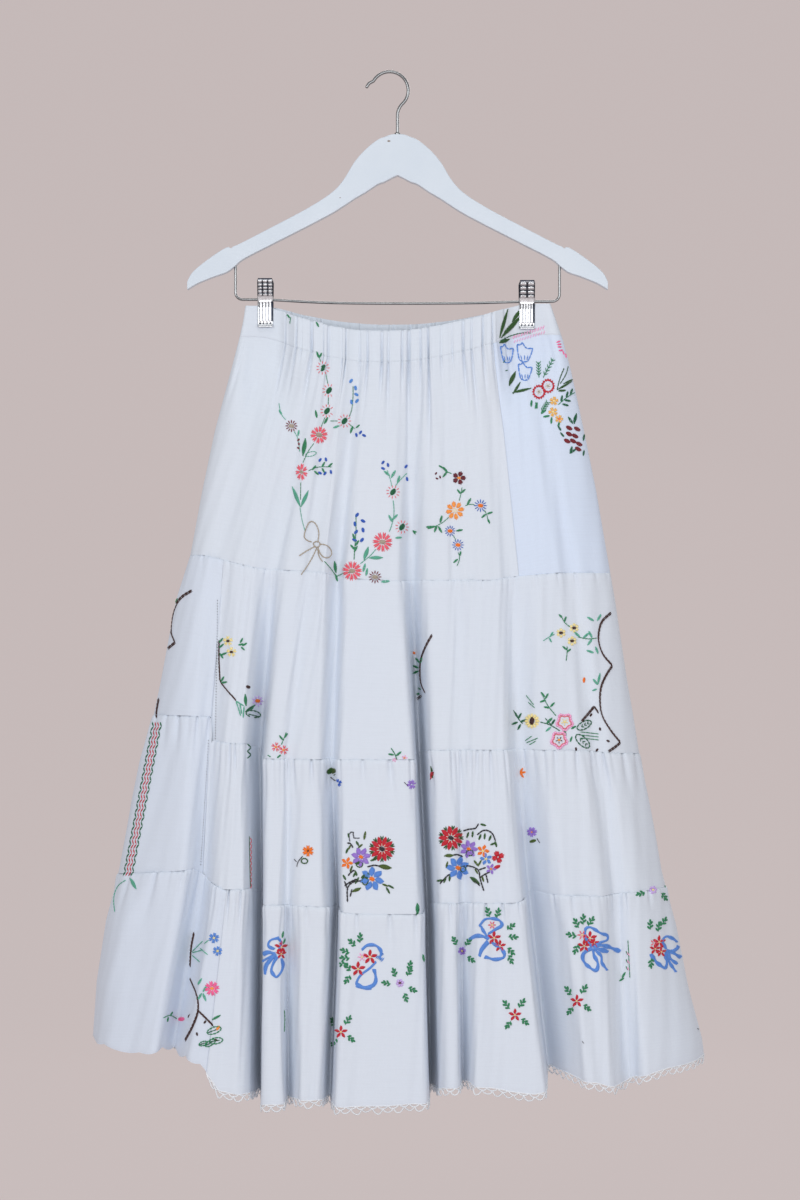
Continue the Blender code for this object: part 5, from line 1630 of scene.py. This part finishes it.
for x, y, along, across, turn, dye in (
    (218, 1028, 2.6, 1.6, 60, "orange"), (181.5, 1019, 3.0, 2.4, 20, "hot_pink"),
):
    fill(x, y, along, across, turn, dye)
buds(((205, 1022), (197, 1034), (216, 1040)), dye="bark", size=1.6)
for x0, y0, x1, y1, dye, width in (
    (188, 1018, 190, 1014, "bark", 1.2), (627, 952, 630, 956, "pink", 1.2),
    (628, 955, 626, 951, "leaf", 1.0), (627, 960, 630, 964, "pink", 1.2),
    (628, 963, 626, 959, "leaf", 1.0), (627, 967, 630, 971, "pink", 1.2),
    (628, 970, 626, 966, "leaf", 1.0), (582, 1041, 584, 1043.5, "grey", 0.8),
    (697, 1028.5, 699, 1029.5, "grey", 0.8),
):
    stitch(x0, y0, x1, y1, dye, width)
for x, y, turn, long in (
    (207, 1033, 20, 15), (209, 1042, 10, 14), (205, 1046, 30, 12), (199, 1045, 20, 9),
):
    hoop(*away(x, y, turn, long / 2), long / 2, long * 0.22, "leaf", 1.2, turn=turn)
    line(((x, y), away(x, y, turn, long * 0.8)), "fern", 0.9, 5.0)
for route, wide in (
    (((278.6, 938), (272, 939.5), (269, 942), (268.4, 945.5), (271, 948), (275, 949)), 1.7),
    (((279, 939), (281, 943), (279, 949)), 1.4),
    (((262, 954.7), (268, 952.5), (275, 953.7)), 2.3),
    (((263, 961), (269, 957.5), (275, 955)), 1.9),
    (((265, 974), (266, 966), (272, 958), (276, 955)), 2.1),
    (((277, 957), (273, 964), (271.5, 971), (276, 977), (281, 972), (283, 965), (281.5, 958.5)), 1.8),
    (((362, 949.6), (367, 945.5), (373, 945), (378, 947), (381, 952), (379.6, 959)), 1.8),
    (((377, 957), (384, 960.5)), 2.5),
    (((379, 957), (384, 953)), 1.7),
    (((376, 962), (370, 968), (362, 974), (358, 979), (357, 984),
      (363, 987), (372, 986), (376, 980), (374, 969)), 1.9),
    (((357, 985), (364, 988), (372, 987)), 2.4),
    (((425.5, 954), (428, 965)), 1.8),
    (((435.8, 960), (436, 969)), 1.2),
    (((426, 974), (427.5, 990)), 1.7),
    (((479.4, 926), (484.6, 919.7), (493, 918.5), (500, 921),
      (502, 925.4), (497, 928.5), (488, 934)), 1.7),
    (((469.4, 939.3), (476, 936), (483, 936.5), (489, 938.5)), 2.2),
    (((479.4, 956), (482, 949), (488, 942)), 2.6),
    (((491, 942), (502, 949.4), (504, 957), (495, 959.4), (484.6, 956.8)), 1.9),
    (((481, 926), (484, 932), (489, 938)), 1.6),
    (((592, 947), (586, 938), (585.4, 929.3), (591, 927.5), (600, 932.9),
      (607, 935.5), (607, 940), (600, 942.7), (594, 946)), 1.7),
    (((592, 948), (584, 953), (583, 960), (589, 967),
      (596, 970.4), (598, 964), (594, 955), (593, 949)), 1.9),
    (((594, 946.5), (603, 945.4), (614, 949), (620, 951.6)), 2.4),
    (((594, 948), (602, 950), (608, 952)), 2.6),
    (((595, 950), (601, 956), (602, 963), (607, 970)), 1.7),
    (((666, 949), (662.5, 941), (667, 936.4), (676, 941), (678, 947), (672, 951.6), (667, 950)), 1.8),
    (((651, 954.3), (654, 959), (658, 963.5), (665, 968), (667, 962), (666, 956), (667, 951)), 2.1),
    (((668, 952), (670, 958), (677, 964)), 1.8),
    (((668, 954), (670, 963), (676, 972)), 1.7),
    (((670, 951), (675, 954), (681, 957.5)), 2.1),
):
    ribbon(route, wide)

# The hemstitching of the left seams: a row of small holes drawn out of the cloth, each bound
# with a grey thread.
DOT_PITCH = 2.7

for x0, y0, x1, y1 in ((217.5, 600, 215.5, 738), (208.5, 740, 200.6, 864)):
    for share in np.linspace(0.0, 1.0, int((y1 - y0) / DOT_PITCH)):
        x = x0 + (x1 - x0) * share
        y = y0 + (y1 - y0) * share
        stitch(x - 0.15, y, x + 0.35, y + 1.1, "grey", 0.62)

# Inside the back of the waist: leaves and buds on the casing, which was cut from an
# embroidered corner.
line(((290, 324), (291, 316), (293, 309)), dye="leaf", width=0.9)
for x, y, turn, long in (
    (291, 317, 60, 6), (290, 318, 130, 5), (323, 327, 80, 8), (319, 327, 120, 6), (326, 326, 40, 6),
):
    leaf(x, y, turn, long, dye="leaf")
buds(((321, 318), (325, 318.5)), dye="wine", size=1.4)

# The stitches of each dye, in one piece: a stitch runs from hole to hole and bows up between
# them. Only what shows is worked, so places inside a fold and steep faces are passed over.
THREAD_WIDTH = 1.12
STATIONS = np.array((0.0, 0.3, 0.7, 1.0))
TAPER = np.array((0.35, 1.0, 1.0, 0.35))
LIFTS = (0.0, 0.000448, 0.000448, 0.0)
LEAST_FACING = 0.16
LONGEST_STRETCH = 2.6
STRETCH_ROOM = 0.0008
Hidden = namedtuple("Hidden", "left right top foot")
HIDDEN = [Hidden(*row) for row in (
    (332, 338, 360, 418),
    (332, 341, 455, 480),
    (409, 413, 515, 536),
    (261.5, 266, 690, 722),
)]


def reflected(level):
    """The light that a dye's screen level stands for."""
    return ((level / 255.0 + 0.055) / 1.055) ** 2.4


def cotton(dye):
    """Stranded cotton in one dye, a little worn, with the sheen of its strands."""
    finish = Finish(f"cotton_{dye}", Sheen_Weight=0.15, Sheen_Roughness=0.35)
    strand = finish.noise(finish.place(), 1900.0)
    shade = finish.noise(finish.place(), 240.0)
    dark = [reflected(level) * 0.86 for level in THREADS[dye]]
    bright = [min(reflected(level) * 1.10, 1.0) for level in THREADS[dye]]
    finish.feed("Base Color", finish.blend(shade, (*dark, 1.0), (*bright, 1.0)))
    finish.feed("Roughness", 0.42 + 0.20 * strand)
    finish.bump(strand, 0.00012, 0.6)
    return finish


def on_cloth(points, tree):
    """Where the sight lines through places of the photo meet the cloth, and its facing there."""
    found = []
    for x, y in points:
        target = Vector(((x - ORIGIN_X) * PX, 0.0, -(y - ORIGIN_Y) * PX))
        hit, normal, face, distance = tree.ray_cast(EYE, (target - EYE).normalized())
        if hit is None:
            return None
        found.append((hit, -normal if normal.y > 0.0 else normal))
    return found


corners = []
quads = []
for points in cloth_faces:
    rows, columns = points.shape[:2]
    base = sum(len(part) for part in corners)
    corners.append(points.reshape(-1, 3))
    first = (np.arange(rows - 1)[:, None] * columns + np.arange(columns - 1)[None, :]).ravel() + base
    quads.append(np.stack((first, first + columns, first + columns + 1, first + 1), axis=1))
cloth_tree = BVHTree.FromPolygons(np.vstack(corners).tolist(), np.vstack(quads).tolist())

for dye in THREADS:
    paths = []
    shares = []
    for x0, y0, x1, y1, width, colour in work:
        middle = (x0 + x1) / 2.0
        tucked = any(spot.left < middle < spot.right and spot.top < y0 < spot.foot for spot in HIDDEN)
        if colour != dye or tucked:
            continue
        hits = on_cloth([(x0 + (x1 - x0) * u, y0 + (y1 - y0) * u) for u in STATIONS], cloth_tree)
        if hits is None or min(-normal.y for hit, normal in hits) < LEAST_FACING:
            continue
        run = (hits[-1][0] - hits[0][0]).length
        if run > LONGEST_STRETCH * PX * math.hypot(x1 - x0, y1 - y0) + STRETCH_ROOM:
            continue
        paths.append(np.array([hit + normal * lift for (hit, normal), lift in zip(hits, LIFTS)]))
        shares.append(TAPER * width * THREAD_WIDTH)
    name = f"embroidery_{dye}"
    piece(name, threads(name, paths, 0.5 * PX, shares, sides=0), cotton(dye))

# The edging: a narrow crochet border worked into the hem in cotton yarn. A first row of low
# arches leaves flat slots under the hem, and a second row of deeper loops hangs between them.
YARN = 0.00078
ARCH_PITCH = 0.0108
ARCH_DEPTH = 0.0030
LOOP_DEPTH = 0.0050
ARCH_POINTS = 9
UNEVEN_DEPTH = 0.22
UNEVEN_PLACE = 0.10
BOWED_OUT = 0.0010
BESIDE_HEM = 0.0004
BELOW_HEM = 0.0002

yarn = Finish("crochet_cotton", Sheen_Weight=0.15, Sheen_Roughness=0.4)
ply = yarn.noise(yarn.place(), 1500.0)
fuzz = yarn.noise(yarn.place(), 90.0, 3.0)
yarn.feed("Base Color", yarn.blend(fuzz, (0.72, 0.77, 0.84, 1.0), (0.84, 0.87, 0.90, 1.0)))
yarn.feed("Roughness", 0.75 + 0.15 * ply)
yarn.bump(ply, 0.00018, 0.7)


def edging(name, hem, inward, nodes):
    """Arches and loops of yarn hung along a line of hem points."""
    steps = np.linalg.norm(np.diff(hem, axis=0), axis=1)
    length = np.concatenate(([0.0], np.cumsum(steps)))
    count = int(length[-1] / ARCH_PITCH)
    pitch = length[-1] / count
    share = np.linspace(0.0, 1.0, ARCH_POINTS)
    paths = []
    for row, (deep, start) in enumerate(((ARCH_DEPTH, 0.0), (LOOP_DEPTH, 0.5))):
        for k in range(count - row):
            uneven_deep = deep * (1.0 + UNEVEN_DEPTH * math.sin(2.9 * k + 4.0 * row))
            bow_out = 0.5 + 0.5 * math.sin(1.7 * k + row)
            drift = UNEVEN_PLACE * math.sin(3.7 * k) * np.sin(math.pi * share)
            along = (k + start + share + drift) * pitch
            point = np.stack([np.interp(along, length, hem[:, axis]) for axis in range(3)], axis=1)
            hang = np.sin(math.pi * share) ** (0.55 + 0.35 * bow_out)
            point[:, 2] -= row * ARCH_DEPTH * 0.85 + uneven_deep * hang
            point[:, 1] += inward * (BESIDE_HEM + BOWED_OUT * bow_out * row * hang)
            paths.append(point)
    rail = hem[::3].copy()
    rail[:, 1] += inward * BESIDE_HEM
    rail[:, 2] -= BELOW_HEM
    paths.append(rail)
    piece(name, threads(name, paths, YARN, sides=0), yarn, nodes)


front_points, front_t = grids[4, False][:2]
edging("crochet_front", front_points[-1][front_t >= PATCH_EDGE], 1.0, ["lace_front"])
edging("crochet_back", grids[4, True][0][-1], -1.0, ["lace_back"])

# The room: a plain pale mauve-grey sweep, floor and wall in one, that shows from its front
# alone, a camera level with the middle of the skirt, and broad soft lights from both sides,
# from above and from the rear.
SENSOR = 36.0
SWEEP_HALF = 5.0
SWEEP_BEND = 0.9
SWEEP_NEAR = (-4.5, -1.30)
SWEEP_CORNER = (1.6, -0.40)
SWEEP_TOP = (2.5, 2.6)
Lamp = namedtuple("Lamp", "name place target size power")
LAMPS = [Lamp(*row) for row in (
    ("window_left", (-1.9, -3.2, 0.3), (0.0, 0.0, -0.6), 1.6, 36.0),
    ("window_front", (0.4, -3.9, -0.2), (0.0, 0.0, -0.6), 1.8, 30.0),
    ("window_right", (2.2, -2.8, 0.0), (0.0, 0.0, -0.6), 1.6, 18.0),
    ("ceiling", (0.0, -1.2, 2.2), (0.0, 0.0, -0.5), 1.8, 11.0),
    ("rear", (0.4, 2.1, 0.6), (0.0, 0.0, -0.5), 1.2, 12.0),
)]

camera_data = bpy.data.cameras.new("camera")
camera = bpy.data.objects.new("camera", camera_data)
bpy.context.scene.collection.objects.link(camera)
camera.location = EYE
camera.rotation_euler = (math.pi / 2.0, 0.0, 0.0)
camera_data.sensor_width = SENSOR
camera_data.lens = SENSOR * EYE_AWAY / (PHOTO_HEIGHT * PX)
bpy.context.scene.camera = camera

backdrop = Finish("backdrop_paper", Roughness=0.95)
paper = backdrop.noise(backdrop.place(), 3.0, 2.0)
backdrop.feed("Base Color", backdrop.blend(paper, (0.135, 0.118, 0.117, 1.0), (0.140, 0.122, 0.121, 1.0)))
backdrop.feed("Emission Color", (0.530, 0.465, 0.460, 1.0))
backdrop.feed("Emission Strength", 0.85)
behind = backdrop.add("ShaderNodeNewGeometry", out=6)
clear = backdrop.add("ShaderNodeBsdfTransparent")
front_only = {0: behind, 1: Wire(backdrop, backdrop.shader.outputs[0]), 2: clear}
one_sided = backdrop.add("ShaderNodeMixShader", None, front_only)
backdrop.put(backdrop.tree.nodes["Material Output"].inputs["Surface"], one_sided)

profile = [SWEEP_NEAR]
corner_y, corner_z = SWEEP_CORNER
for a in np.linspace(0.0, math.pi / 2.0, 16):
    profile.append((corner_y + SWEEP_BEND * math.sin(a), corner_z - SWEEP_BEND * math.cos(a)))
profile.append(SWEEP_TOP)
bm = bmesh.new()
profile_verts = [bm.verts.new((-SWEEP_HALF, y, z)) for y, z in profile]
profile_edges = [bm.edges.new(pair) for pair in zip(profile_verts, profile_verts[1:])]
swept = bmesh.ops.extrude_edge_only(bm, edges=profile_edges)
swept = [item for item in swept["geom"] if isinstance(item, bmesh.types.BMVert)]
bmesh.ops.translate(bm, verts=swept, vec=(2.0 * SWEEP_HALF, 0.0, 0.0))
sweep = bpy.data.objects.new("studio_sweep", mesh_from("studio_sweep", bm))
if sweep.data.polygons[0].normal.z < 0.0:
    sweep.data.flip_normals()
sweep.data.materials.append(backdrop.material)
bpy.context.scene.collection.objects.link(sweep)

for lamp in LAMPS:
    light = bpy.data.lights.new(lamp.name, "AREA")
    light.shape = "SQUARE"
    light.size = lamp.size
    light.energy = lamp.power
    holder = bpy.data.objects.new(lamp.name, light)
    bpy.context.scene.collection.objects.link(holder)
    holder.location = lamp.place
    sight = Vector(lamp.target) - Vector(lamp.place)
    holder.rotation_euler = sight.to_track_quat("-Z", "Y").to_euler()

world = bpy.data.worlds.new("room")
bpy.context.scene.world = world
world.use_nodes = True
world.node_tree.nodes["Background"].inputs["Color"].default_value = (0.85, 0.84, 0.84, 1.0)
world.node_tree.nodes["Background"].inputs["Strength"].default_value = 0.51
bpy.context.scene.view_settings.view_transform = "Standard"
